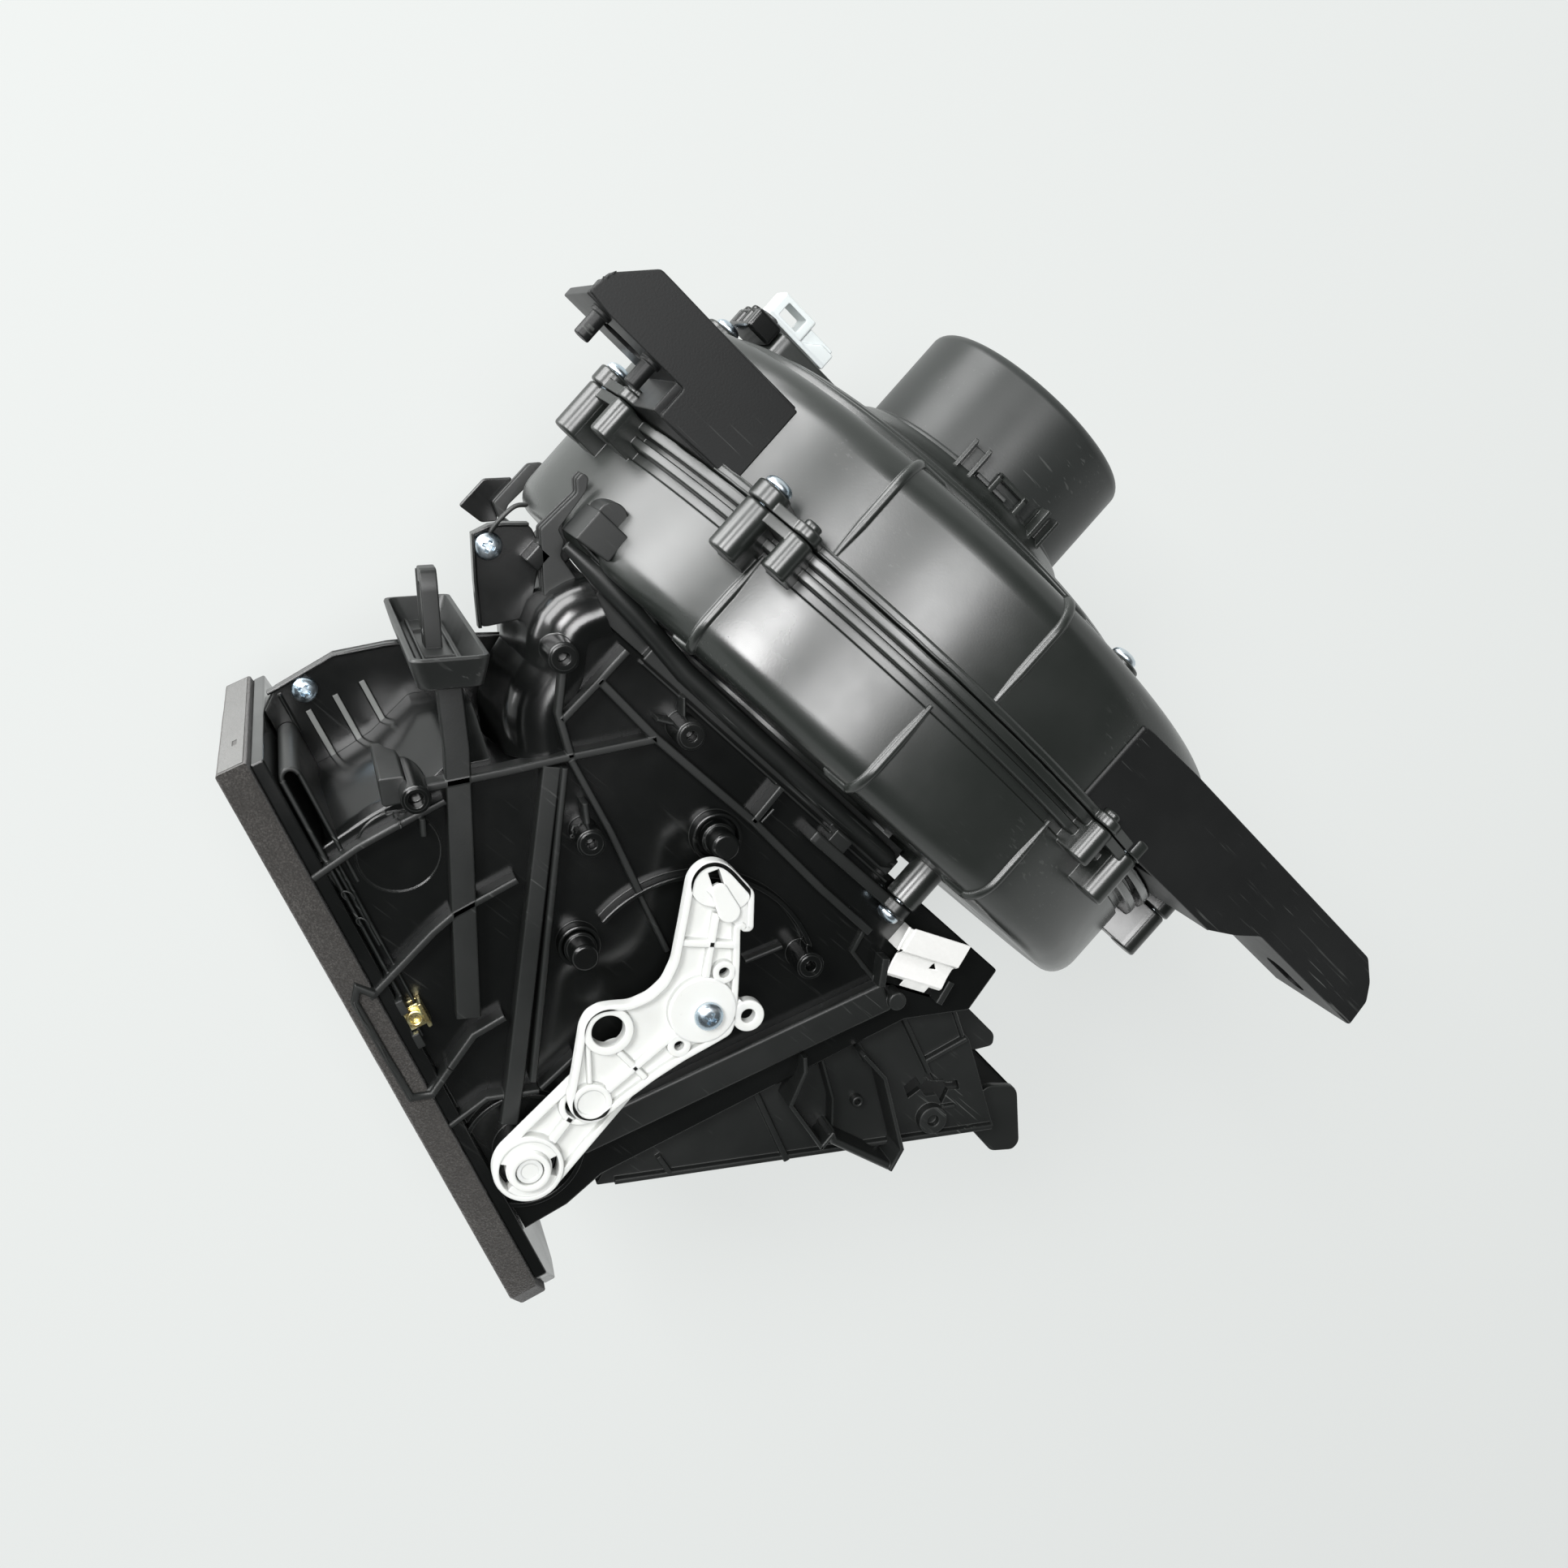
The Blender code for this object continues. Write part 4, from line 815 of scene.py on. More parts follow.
def scroll_inlet_half():
    low = INLET_SIDE_Y
    wall = [(-1.2, -7.8), (-1.2, -10.2), (0, -10.8)]
    profile = [(0, -0.15), (0, -4.6), (0, -7.4)] + wall + [(0, -22)]
    profile += shoulder((0, low + 9.0), (-7.0, low))
    body = scroll_solid(profile + [(-8.5, low)])
    cavity = scroll_solid(
        [(-9.5, low + WALL), (-5.0, low + 4), (-3.1, low + 7), (-2.5, low + 11), (-2.5, 5)],
        OUTLET_Z - 20,
    )
    hole = cylinder((0, 0), INLET_HOLE_R, low - 20, low + 8, "Y", 64)
    shapes = [boolean([body], [cavity, hole])]
    for band in ([(3.4, -3.2), (4.2, -3.0), (4.5, -2.4), (4.5, -0.6), (4.0, -0.15)],
                 [(2.6, -7.6), (3.2, -7.2), (3.3, -6.0), (3.2, -5.1), (2.6, -4.8)]):
        shapes.append(scroll_lip(band, -12))
    bead = [(0, -9.0), (0, -22)] + shoulder((0, low + 9.0), (-6.5, low))
    shapes += [scroll_bead(angle, bead, -4.0) for angle in (124.5, 95.5, 71.0)]
    for angle, sleeve_angle, out, _ in BOSSES:
        shapes += tied_boss(angle, out, BOSS_R, -16.5, -0.15, 0.9)
        shapes += tied_boss(sleeve_angle, out, SLEEVE_R, -12.0, -0.15, 0.9)
    shapes += boss_plates(-3.3, -0.2, 7.0)
    shapes.append(flange_line(4.3, -0.5, 150, -140, 0.24, 9))
    shapes.append(turned(
        [(INLET_HOLE_R + WALL, low - 9.5), (INLET_HOLE_R + WALL, low + 1),
         (INLET_HOLE_R - 1, low + 1), (INLET_HOLE_R - 1, low - 9.5)]))
    shapes.append(outlet_foot(low - 4, -0.15, low + 2, 5))
    strap_x, strap_z = STRAP_AT
    shapes.append(ring(STRAP_AT, 5.6, 2.0, low - 14, low + 1, "Y", 40, 0.6))
    shapes.append(soft_block((strap_x - 4, low - 3, 40), (strap_x + 4, low + 1, strap_z)))
    return piece("scroll_inlet_shell", "housing_plastic", shapes, "scroll_inlet_half")


# Motor disc, cover, connector and clip.

DISC_R = 92.0
DISC_Y = 38.3
DISC_SCREW_ANGLES = (63.0, 183.0, 303.0)
DISC_SCREW_R = 94.0
COVER_R = 40.0
COVER_END_Y = 97.0
COVER_BASE_Y = 60.5
PEDESTAL_Y = 54.0


def u_guide(turn):
    """A small channel of two cheeks and a floor at the foot of the motor cover."""
    shapes = [
        soft_block((-3.4, 58, 41.5), (-2.0, 69, 46.0), 0.3),
        soft_block((2.0, 58, 41.5), (3.4, 69, 46.0), 0.3),
        soft_block((-3.4, 58, 40.3), (3.4, 68, 42.4), 0.3),
    ]
    return [moved(shape, (0, 0, 0), turn, "Y") for shape in shapes]


def motor_mount_disc():
    y = DISC_Y
    profile = [
        (DISC_R - 0.3, y), (DISC_R, y + 0.5), (DISC_R, y + 4.6), (DISC_R - 0.5, y + 5.6),
        (DISC_R - 1.6, y + 6.1), (DISC_R - 4.2, y + 6.3), (DISC_R - 4.8, y + 5.5),
        (DISC_R - 6.0, y + 5.4), (DISC_R - 6.7, y + 6.2), (DISC_R - 7.4, y + 8.0),
        (DISC_R - 9.0, y + 8.9), (70, y + 11.3), (52, 54.2), (48, 56.2), (45.6, 58.6),
        (43.9, 60.0), (41.5, 60.3), (37.4, 60.3), (37.2, 59.8), (37.2, 53), (44, 51),
        (76, y + 4), (76, y - 2.5), (79, y - 2.5), (79, y),
    ]
    shapes = [turned(profile, segments=96)]
    for angle in DISC_SCREW_ANGLES:
        shapes.append(cylinder(polar(DISC_SCREW_R, angle), 6.5, y, y + 6, "Y", 40, 0.8))
    shapes.append(softened(prism(
        rounded([(-84, -14), (-56, -14), (-56, 14), (-84, 14)], 4), 44, PEDESTAL_Y, "Y"), 0.8, 3))
    for turn in (-26.0, 16.0):
        shapes += u_guide(turn)
    for low, high in (((-6.4, 58, 41), (-4.6, 66.5, 43.4)), ((4.6, 58, 41), (6.4, 66.5, 43.4)),
                      ((-6.4, 65, 41), (6.4, 66.8, 43.4))):
        shapes.append(moved(soft_block(low, high, 0.3), (0, 0, 0), -5.0, "Y"))
    return piece("motor_disc", "housing_plastic", shapes, "motor_mount_disc")


def motor_cover():
    y = COVER_END_Y
    base = COVER_BASE_Y
    rim = 3.6
    edge = [(COVER_R - rim + rim * math.cos(math.radians(t)),
             y - rim + rim * math.sin(math.radians(t))) for t in range(0, 91, 10)]
    outside = [(COVER_R + 0.4, base), (COVER_R + 0.4, base + 1.2), (COVER_R, base + 1.8)]
    outside += [(COVER_R, base + 12)] + edge
    outside += [(COVER_R - rim - 1.4, y), (COVER_R - rim - 1.9, y - 0.7), (26, y - 0.7),
                (25.4, y), (12, y), (3, y)]
    inside = [(3, y - 2.2), (COVER_R - 4, y - 2.2), (COVER_R - 2, y - 5), (COVER_R - 2, base)]
    shell = turned(outside + inside, segments=96)
    cap = cylinder((0, 0), 3.4, y - 2.2, y, "Y", 40, 0.3)
    latch = soft_block((-6.2, base + 0.4, 38.5), (6.2, base + 2, 41.4), 0.3)
    return piece("motor_cap", "cover_plastic", [shell, cap, moved(latch, (0, 0, 0), -12.0, "Y")],
                 "motor_cover")


def motor_connector():
    low = 47.6
    high = PEDESTAL_Y + 0.8
    body = softened(block((-94, low, -12), (-84.3, high, 12)), 1.2, 3)
    socket = block((-97, low + 1.3, -8), (-86, low + 5.8, 8))
    shapes = [boolean([body], [socket])]
    for x, z in ((-91.6, -6.5), (-88.2, 6.5), (-92.0, 3.0)):
        shapes.append(cylinder((x, z), 2.4, low + 1, high + 1.0, "Y", 32, 0.9))
    shapes.append(sweep(smooth_run([(-93, high, -11), (-90, high + 0.6, -4), (-91, high + 0.6, 4),
                                    (-87, high, 11)]), 0.9))
    return piece("connector", "case_plastic", shapes, "motor_connector")


def cable_clip():
    base = PEDESTAL_Y + 1.8
    shapes = [soft_block((-90, base + 0.3, -5), (-65, base + 1.9, 5), 0.5)]
    frame_low, frame_high = base + 1.0, base + 9.5
    head = softened(block((-90, frame_low, -5), (-76, frame_high, 5)), 0.9, 3)
    window = soft_block((-87, frame_low + 1.6, -12), (-79, frame_high - 1.9, 12))
    shapes.append(boolean([head], [window]))
    shapes.append(softened(prism(
        [(-76.5, base + 1), (-65, base + 1), (-65, base + 6), (-70, base + 6)], -5, 5), 0.6))
    for z in (-3.6, 3.6):
        shapes.append(soft_block((-76, base + 1, z - 0.6), (-66, base + 7, z + 0.6), 0.3))
    shapes.append(cylinder((-68.0, 0.0), 2.6, base - 1.5, base + 4, "Y", 32, 0.6))
    return piece("harness_clip", "clip_nylon", shapes, "cable_clip")


# Mounting ears.

EAR_FACE_Y = 10.0
LEFT_EAR_Z = 82.0
RIGHT_EAR_Z = 118.0


def slot_tool(start, end, radius, low, high):
    outline = circle(start, radius, 16, 90, 180) + circle(end, radius, 16, -90, 180)
    return prism(outline, low, high, "Y")


def ear_cutters():
    wall = scroll_solid([(0.1, -5), (0.1, 28), (-1.2, 33.2), (-4.4, 36.9), (-9.4, 38.2)])
    heads = [cylinder(on_scroll(b[0], b[2]), b[3] + 0.5, 5.6, 30, "Y", 24) for b in BOSSES]
    return [wall] + heads


def left_ear():
    top = LEFT_EAR_Z
    plate = rounded([(-144, 11), (-143, 18), (-134, 28), (-129, 28), (-60, 27), (-60, 1),
                     (-93, 1), (-109, 0.3), (-109, EAR_FACE_Y), (-136, EAR_FACE_Y)], 0.9, 2)
    low = top - 36.0
    shapes = [softened(prism(plate, top - 3, top), 0.45)]
    walls = [
        ((-144, EAR_FACE_Y, low), (-109, EAR_FACE_Y + 3, top - 1)),
        ((-140, EAR_FACE_Y, low), (-137.5, 20, top - 1)), ((-111.5, 0.3, low), (-109, 27, top - 1)),
        ((-134, 25, low), (-70, 28, top - 1)), ((-111, 0.3, low), (-80, 3, top - 1)),
    ]
    shapes += [soft_block(a, b, 0.4) for a, b in walls]
    cut = ear_cutters() + [slot_tool((-130, 64), (-124, 64), 4.5, 5, 20)]
    pegs = []
    for x in (-137.0, -119.0):
        pegs.append(cylinder((x, 75), 2.4, EAR_FACE_Y - 8.5, EAR_FACE_Y + 1, "Y", 32, 0.5))
        pegs.append(cylinder((x, 75), 3.1, EAR_FACE_Y - 1.2, EAR_FACE_Y + 1, "Y", 32, 0.4))
    pegs.append(flange_scrap((-143.5, 15, top - 0.5), 4))
    return piece("ear_left", "housing_plastic", [boolean(shapes, cut)] + pegs, "left_ear",
                 material=MATERIALS["ear_plastic"])


def flange_scrap(place, seed):
    """A torn thread of moulding flash."""
    rng = np.random.default_rng(seed)
    points = [Vector(place) + Vector((0.3 * i, 0.8 * i, 0)) + Vector(rng.uniform(-0.3, 0.3, 3))
              for i in range(6)]
    return sweep(points, 0.3, 6)


def right_ear():
    top = RIGHT_EAR_Z
    plate = rounded([(44, 29), (47, 29.5), (67, 30), (158, 29), (165, 24), (169, 19), (170, 10),
                     (122, 10), (115, 5), (106, 0.3), (44, 0.3)], 0.9, 2)
    strip = [(34, 112.0), (44, top + 0.5), (60, top - 6), (50, 100.0)]
    low = top - 40.0
    shapes = [softened(prism(plate, top - 3, top), 0.45), softened(prism(strip, 0.3, 29, "Y"), 0.8)]
    walls = [
        ((120, EAR_FACE_Y, low), (170, EAR_FACE_Y + 3, top - 1)),
        ((118, EAR_FACE_Y, low), (121, 29, top - 1)), ((60, 26, 92), (158, 29, top - 1)),
        ((80, 0.3, 80), (107, 3, top - 1)),
    ]
    shapes += [soft_block(a, b, 0.4) for a, b in walls]
    cut = ear_cutters() + [slot_tool((150, 99), (158, 99), 4.5, 5, 20)]
    return piece("ear_right", "housing_plastic", [boolean(shapes, cut)], "right_ear",
                 material=MATERIALS["ear_plastic"])


# Screws.


def pan_head(centre, under, axis, into, head_r, tip):
    """A Phillips pan-head screw; into is +1 or -1, the way its shank runs along the axis."""
    crown = 2.7
    profile = [(head_r * 0.96, under), (head_r, under - into * 0.3)]
    for i in range(9):
        t = math.radians(90.0 * i / 8)
        profile.append((head_r * (0.28 + 0.72 * math.cos(t)),
                        under - into * (0.7 + (crown - 0.7) * math.sin(t))))
    head = stepped(profile, centre, axis, 40)
    top = under - into * crown
    tools = []
    for turn in (0.0, 90.0):
        c, s = polar(1.0, turn + 20)
        wide, deep = head_r * 0.50, 0.62
        loops = []
        for depth, shrink in ((-0.4, 1.0), (1.5, 0.55)):
            along = top + into * depth
            loop = []
            for u, v in ((-wide, -deep), (wide, -deep), (wide, deep), (-wide, deep)):
                u, v = u * shrink, v * (0.6 + 0.4 * shrink)
                across = (centre[0] + u * c - v * s, centre[1] + u * s + v * c)
                loop.append(placed(axis, *across, along))
            loops.append(loop)
        tools.append(loft(loops))
    shank = cylinder(centre, 1.5, *sorted((under, tip)), axis, 20)
    return [boolean([head], tools), shank]


def screws():
    for number, (angle, _, out, head_r) in enumerate(BOSSES, 1):
        shapes = pan_head(on_scroll(angle, out), 5.8, "Y", -1.0, head_r, -9.0)
        piece(f"scroll_screw_head_{number}", "zinc_screw", shapes, f"scroll_screw_{number}")
    for number, angle in enumerate(DISC_SCREW_ANGLES, 1):
        place = polar(DISC_SCREW_R, angle)
        shapes = pan_head(place, DISC_Y + 6.3, "Y", -1.0, 4.2, DISC_Y - 2)
        piece(f"disc_screw_head_{number}", "zinc_screw", shapes, f"disc_screw_{number}")
    places = {
        "drive_lever_screw": ((20, -117), 80.3, "Z", -1.0, 4.4, 62.0),
        "bracket_screw": ((-113, -56), 39.3, "Z", -1.0, 4.2, 32.0),
        "strap_screw": ((50, 66.5), -58.8, "Y", 1.0, 3.8, -47.0),
        "panel_screw": ((-120, -126), 7.6, "Z", -1.0, 4.0, 3.6),
    }
    for name, screw in places.items():
        piece(name + "_head", "zinc_screw", pan_head(*screw), name)


scroll_motor_half()
scroll_inlet_half()
motor_mount_disc()
motor_cover()
motor_connector()
cable_clip()
left_ear()
right_ear()
screws()


# Levers.

DRIVE_PIVOT = (20.0, -117.0)
DOOR_PIVOT = (12.0, -187.0)
DOOR_ANGLE = 108.0
DRIVE_PIN = (11.0, -159.0)
CRANK_Z = (70.0, 74.5)
DRIVE_Z = (75.3, 79.8)
THROUGH = (60.0, 90.0)
DRIVE_OUTLINE = [
    (-13.7, -89.4), (-14.2, -86.0), (-13.4, -82.9), (-11.4, -80.5), (-8.5, -79.1), (-4.9, -78.9),
    (4.1, -80.0), (5.3, -80.6), (12.4, -88.5), (12.3, -90.0), (10.6, -91.4), (9.4, -91.2),
    (16.4, -98.8), (23.8, -107.4), (28.8, -113.9), (30.2, -117.3), (28.4, -122.2), (24.3, -132.4),
    (21.3, -141.9), (18.4, -154.0), (17.2, -160.2), (14.6, -163.7), (11.0, -165.2), (7.2, -164.6),
    (4.4, -162.3), (2.2, -158.6), (-0.7, -154.0), (-8.2, -142.6), (-9.2, -138.6), (-7.8, -134.8),
    (-5.4, -132.3), (-1.0, -128.4), (1.6, -123.2), (2.2, -117.6), (0.2, -111.2), (-6.9, -99.9),
]


def inset(outline, distance):
    """The outline moved inwards by one distance on every side."""
    points = [Vector(p) for p in outline]
    count = len(points)
    area = sum(points[i - 1].x * points[i].y - points[i].x * points[i - 1].y for i in range(count))
    sign = 1.0 if area > 0 else -1.0
    result = []
    for i in range(count):
        before = (points[i] - points[i - 1]).normalized()
        after = (points[(i + 1) % count] - points[i]).normalized()
        first = Vector((-before.y, before.x)) * sign
        second = Vector((-after.y, after.x)) * sign
        both = first + second
        result.append(points[i] + both * (distance / max(0.3, both.dot(first))))
    return result


def hull_of_circles(circles, segments=32):
    """Outline of a belt round some (centre, radius) circles."""
    cloud = []
    for centre, radius in circles:
        cloud += circle(centre, radius, segments)
    cloud = sorted(set(cloud))

    def side(points):
        chain = []
        for p in points:
            while len(chain) > 1:
                (ax, ay), (bx, by) = chain[-2:]
                if (bx - ax) * (p[1] - ay) - (by - ay) * (p[0] - ax) > 1e-9:
                    break
                chain.pop()
            chain.append(p)
        return chain[:-1]

    return side(cloud) + side(cloud[::-1])


def cable_slot():
    return beam((-9.6, -83.1), (-3.4, -86.6), 3.5, *THROUGH)


def drive_lever():
    low, high = DRIVE_Z
    outline = [(p.x, p.y) for p in rounded(DRIVE_OUTLINE, 1.6, 3)]
    floor = low + 1.7
    plate = prism(inset(outline, 0.3), low, floor)
    rim = ribbon(inset(outline, 1.05), 2.1, low + 0.2, high, 0.45, closed=True)
    head = prism(hull_of_circles([((-6.6, -86.0), 6.9), ((0.6, -84.2), 4.6)]), low, high)
    wing = [(1.0, -81.0), (4.6, -80.9), (11.9, -88.6), (11.6, -89.8), (9.6, -91.0), (1.0, -92.2)]
    flat = [
        cylinder((17.8, -117.0), 10.4, low + 0.3, high + 0.2, "Z", 64, 0.6),
        softened(prism(wing, low, high - 0.5), 0.4),
        ring((-0.5, -138.9), 7.6, 5.0, floor - 0.5, high, "Z", 48, 0.5),
        ring((14.9, -104.2), 3.5, 1.6, floor - 0.5, high, "Z", 40, 0.4),
        ring((19.8, -129.6), 3.6, 1.5, floor - 0.5, high, "Z", 40, 0.4),
        ring(DRIVE_PIN, 6.2, 4.3, floor - 0.5, high, "Z", 48, 0.4),
        cylinder(DRIVE_PIN, 4.5, floor - 0.5, high - 0.7, "Z", 40, 0.4),
        ring((30.4, -109.8), 5.0, 2.2, low + 0.2, high, "Z", 48, 0.5),
        soft_block((24.5, -113.5, low + 0.4), (28.0, -107.5, high - 0.2), 0.4),
    ]
    ribs = [ribbon(run, width, floor - 0.3, high - sunk) for run, width, sunk in (
        ([(0.5, -92.0), (11.6, -108.6)], 2.2, 0.15),
        ([(-1.6, -105.2), (12.3, -95.6)], 2.3, 0.15),
        ([(16.5, -127.0), (12.2, -153.6)], 2.2, 0.15),
        ([(6.4, -142.0), (18.6, -143.4)], 2.0, 0.15),
        ([(-3.5, -144.5), (6.4, -154.5)], 1.6, 0.6),
    )]
    holes = [cylinder(centre, radius, *THROUGH, "Z", sides) for centre, radius, sides in (
        ((-0.5, -138.9), 5.0, 48), ((14.9, -104.2), 1.9, 32), ((19.8, -129.6), 1.8, 32),
        ((30.4, -109.8), 2.7, 40), (DRIVE_PIVOT, 2.0, 32),
    )]
    key = block((-0.9, -1.4, THROUGH[0]), (0.9, 1.4, THROUGH[1]))
    holes += [cable_slot(), moved(key, (21.6, -110.9, 0), 20)]
    pad = [
        softened(prism(hull_of_circles([((-3.9, -86.6), 2.6), ((2.6, -89.3), 3.4)]),
                       high - 0.5, high + 1.0), 0.5),
        softened(prism([(-7.2, -88.8), (-5.4, -84.9), (-3.2, -85.0), (-3.8, -89.4)],
                       high - 2.5, high + 0.4), 0.4),
    ]
    peg = cylinder(DRIVE_PIN, 2.8, 69.5, low + 0.5, "Z", 32, 0.4)
    shapes = [boolean([plate], holes), boolean([head], [cable_slot()]), rim, peg]
    shapes += flat + ribs + pad
    return piece("lever_drive", "lever_nylon", shapes, "drive_lever", smooth=38.0)


def crank_lever():
    low, high = CRANK_Z
    pivot = Vector(DOOR_PIVOT)
    along = (Vector(DRIVE_PIN) - pivot).normalized()
    outline = hull_of_circles([(DOOR_PIVOT, 10.8), ((13, -147), 8.8)], 48)
    run = hull_of_circles([(pivot + along * 24.5, 4.8), (pivot + along * 37.5, 4.8)], 24)
    floor = low + 1.6
    shapes = [
        ribbon(inset(outline, 1.0), 2.0, low + 0.2, high, 0.4, closed=True),
        ribbon(inset(run, -0.9), 2.0, low + 0.2, high - 0.2, 0.4, closed=True),
        ribbon([(12.2, -176.5), (11.4, -167.0)], 2.6, floor - 0.3, high - 0.2),
    ]
    arcs = []
    for start, reach in ((205.0, 62.0), (20.0, 44.0)):
        outer = circle(DOOR_PIVOT, 8.9, 12, start, reach)
        inner = circle(DOOR_PIVOT, 6.9, 12, start, reach)[::-1]
        arcs.append(prism(outer + inner, *THROUGH))
    cuts = [prism(run, *THROUGH), cylinder(DOOR_PIVOT, 4.3, *THROUGH, "Z", 48)] + arcs
    disc_cuts = [cut.copy() for cut in cuts[1:]]
    plate = boolean([prism(inset(outline, 0.3), low, floor)], cuts)
    disc = boolean([cylinder(DOOR_PIVOT, 10.6, low + 0.3, high + 0.3, "Z", 64)], disc_cuts)
    tube = ring(DOOR_PIVOT, 6.3, 4.3, low + 0.3, high + 3.0, "Z", 56, 0.5)
    collar = ring(DOOR_PIVOT, 10.4, 9.0, high, high + 0.9, "Z", 64, 0.3)
    shapes += [plate, disc, tube, collar]
    return piece("lever_crank", "lever_nylon", shapes, "crank_lever", smooth=38.0)


def door_shaft():
    shapes = [
        cylinder(DOOR_PIVOT, 4.0, -57.0, 76.3, "Z", 40, 0.5),
        ring(DOOR_PIVOT, 3.9, 2.6, 75.6, 76.5, "Z", 40, 0.2),
    ]
    return piece("shaft_door", "lever_nylon", shapes, "door_shaft")


# Intake case.

SEAL_START = (-131.0, -151.0)
SEAL_ANGLE = -23.7
SEAL_THICK = 9.0
FRAME_THICK = 4.0
CASE_Z = 60.0
RIB_FOOT = CASE_Z - 1.0
RIB_Z = 66.0
CASE_TOP_Y = -50.0


def seal_point(along, inward):
    """The (X, Y) at a distance along the seal's outer face and a depth into the unit."""
    turn = math.radians(SEAL_ANGLE)
    x = SEAL_START[0] + along * math.cos(turn) - inward * math.sin(turn)
    y = SEAL_START[1] + along * math.sin(turn) + inward * math.cos(turn)
    return (x, y)


def seal_prism(outline, low, high):
    """An outline of (along, Z) points, carried from one depth to another."""
    return loft([[(*seal_point(s, depth), z) for s, z in outline] for depth in (low, high)])


def case_outline():
    inside = SEAL_THICK + 0.6
    return [
        seal_point(33, inside), (-91, -134), (-86, -120), (-63, -87), (-71, -80), (-85, -66),
        (-81, CASE_TOP_Y), (98, CASE_TOP_Y), (100, -66), (84, -82), (39, -180), (37, -194),
        seal_point(172, inside),
    ]


def edge_band(points, profile):
    """A solid that follows a run of points; its section is (distance to the left, Z) points."""
    path = [Vector((p[0], p[1])) for p in points]
    return loft([[(*(point + side * aside), z) for aside, z in profile]
                 for point, side in zip(path, mitres(path))])


def wall_ribs():
    """The ribs of the case's wall, as (points, width, top)."""
    return [
        ([(-86, -118.5), (-72, -101), (-60.5, -85.8), (-44.5, -65.6)], 2.5, RIB_Z),
        ([(-81.5, -64), (-71.5, -78.0), (-60, -85.3)], 2.4, RIB_Z),
        ([(-69.2, -79), (-68.6, -63), (-68.4, -52)], 2.4, RIB_Z),
        ([(-68.6, -63.5), (-44.9, -65.4), (-4.2, -65.2), (27.7, -67.2), (50, -67.5)], 2.8, RIB_Z),
        ([(-4.3, -65.2), (-4.8, -52)], 2.4, RIB_Z),
        ([(-1.8, -64.3), (-1.6, -58.4)], 1.2, RIB_Z - 1.5),
        ([(-59.5, -86), (-36.1, -94.7), (-17.0, -103.0)], 2.3, RIB_Z),
        ([(-62.5, -91.0), (-6.5, -170.1), (1.5, -182)], 5.4, RIB_Z),
        ([(-59.6, -88.8), (-2.3, -167.1)], 2.0, RIB_Z + 1.2),
        ([(-101.8, -90.0), (-86.5, -104.0), (-30.8, -163.2)], 7.2, RIB_Z),
        ([(-92.3, -157.7), (-88.6, -143.2), (-83.5, -129.5), (-78.8, -117.8)], 2.2, RIB_Z - 1),
        ([(-57.0, -175.4), (-56.0, -149.6), (-54.9, -141.5), (-47.7, -122.7)], 2.3, RIB_Z),
        ([(-25.2, -191.0), (-24.0, -182.7), (-25.8, -166.8), (-22.3, -156.9)], 2.3, RIB_Z),
        ([(-89.1, -151.8), (-64.7, -162.2)], 1.0, RIB_Z - 3.0),
        ([(-46.9, -51.2), (-41.5, -57.0)], 1.2, RIB_Z + 1),
        ([(-48.6, -61.1), (-41.5, -57.6)], 1.2, RIB_Z + 1),
        ([(-48.4, -92.9), (-42, -98.5)], 1.8, RIB_Z + 2),
        ([(-80.8, -125.3), (-77.2, -128.9)], 1.8, RIB_Z + 1),
        ([(-15, -104), (4, -112)], 1.8, 63.0),
        ([(25.9, -99.6), (32.0, -88.7)], 1.6, 63.0),
        ([(-12, -193), (-9, -180), (2, -169)], 1.8, RIB_Z - 1),
        ([(2, -168), (3.5, -154)], 1.8, RIB_Z - 1),
    ]


def wall_bosses():
    """Tall tubes, ringed posts and pivots of the wall."""
    shapes = []
    for centre, outer, inner, foot, top in (
        ((-83, -65), 4.5, 1.9, 30.0, 74.0), ((-40, -58), 4.4, 1.7, 60.0, 74.0),
        ((-41, -100), 4.3, 1.7, 60.0, 74.0), ((-87.6, -121), 4.2, 2.3, 22.0, 74.0),
        ((39, -87), 4.4, 1.8, 60.0, 72.0),
    ):
        shapes.append(ring(centre, outer, inner, foot - 1.5, top, "Z", 48, 0.5))
        shapes.append(ring(centre, outer - 1.0, inner - 0.1, top - 0.4, top + 0.15, "Z", 40, 0.1))
        shapes.append(cylinder(centre, inner + 0.2, foot - 1, top - 6, "Z", 24))
    for centre, outer, post in (((-9, -76), 7.8, 4.3), ((-19, -127), 6.5, 4.1)):
        shapes.append(ring(centre, outer, outer - 1.3, RIB_FOOT, 64.5, "Z", 56, 0.5))
        shapes.append(ring(centre, outer - 1.6, post, RIB_FOOT, 61.2, "Z", 56, 0.3))
        shapes.append(cylinder(centre, post, CASE_Z - 4, 74.3, "Z", 48, 1.1))
        shapes.append(ring(centre, post + 0.9, post - 0.5, 62, 66.0, "Z", 48, 0.4))
    shapes.append(ring(DRIVE_PIVOT, 7.5, 1.9, RIB_FOOT, 75.0, "Z", 48, 0.5))
    shapes.append(ring(DOOR_PIVOT, 9.0, 4.6, RIB_FOOT, 68.0, "Z", 48, 0.6))
    shapes.append(ring(DOOR_PIVOT, 19.0, 17.4, RIB_FOOT, 63.5, "Z", 64, 0.4))
    shapes.append(ribbon(circle(DRIVE_PIVOT, 38.5, 24, 62, 118), 1.8, RIB_FOOT, 65.0))
    shapes.append(ribbon(circle((-78, -138), 12.0, 40, 0, 359), 0.5, RIB_FOOT, CASE_Z + 0.25))
    return shapes


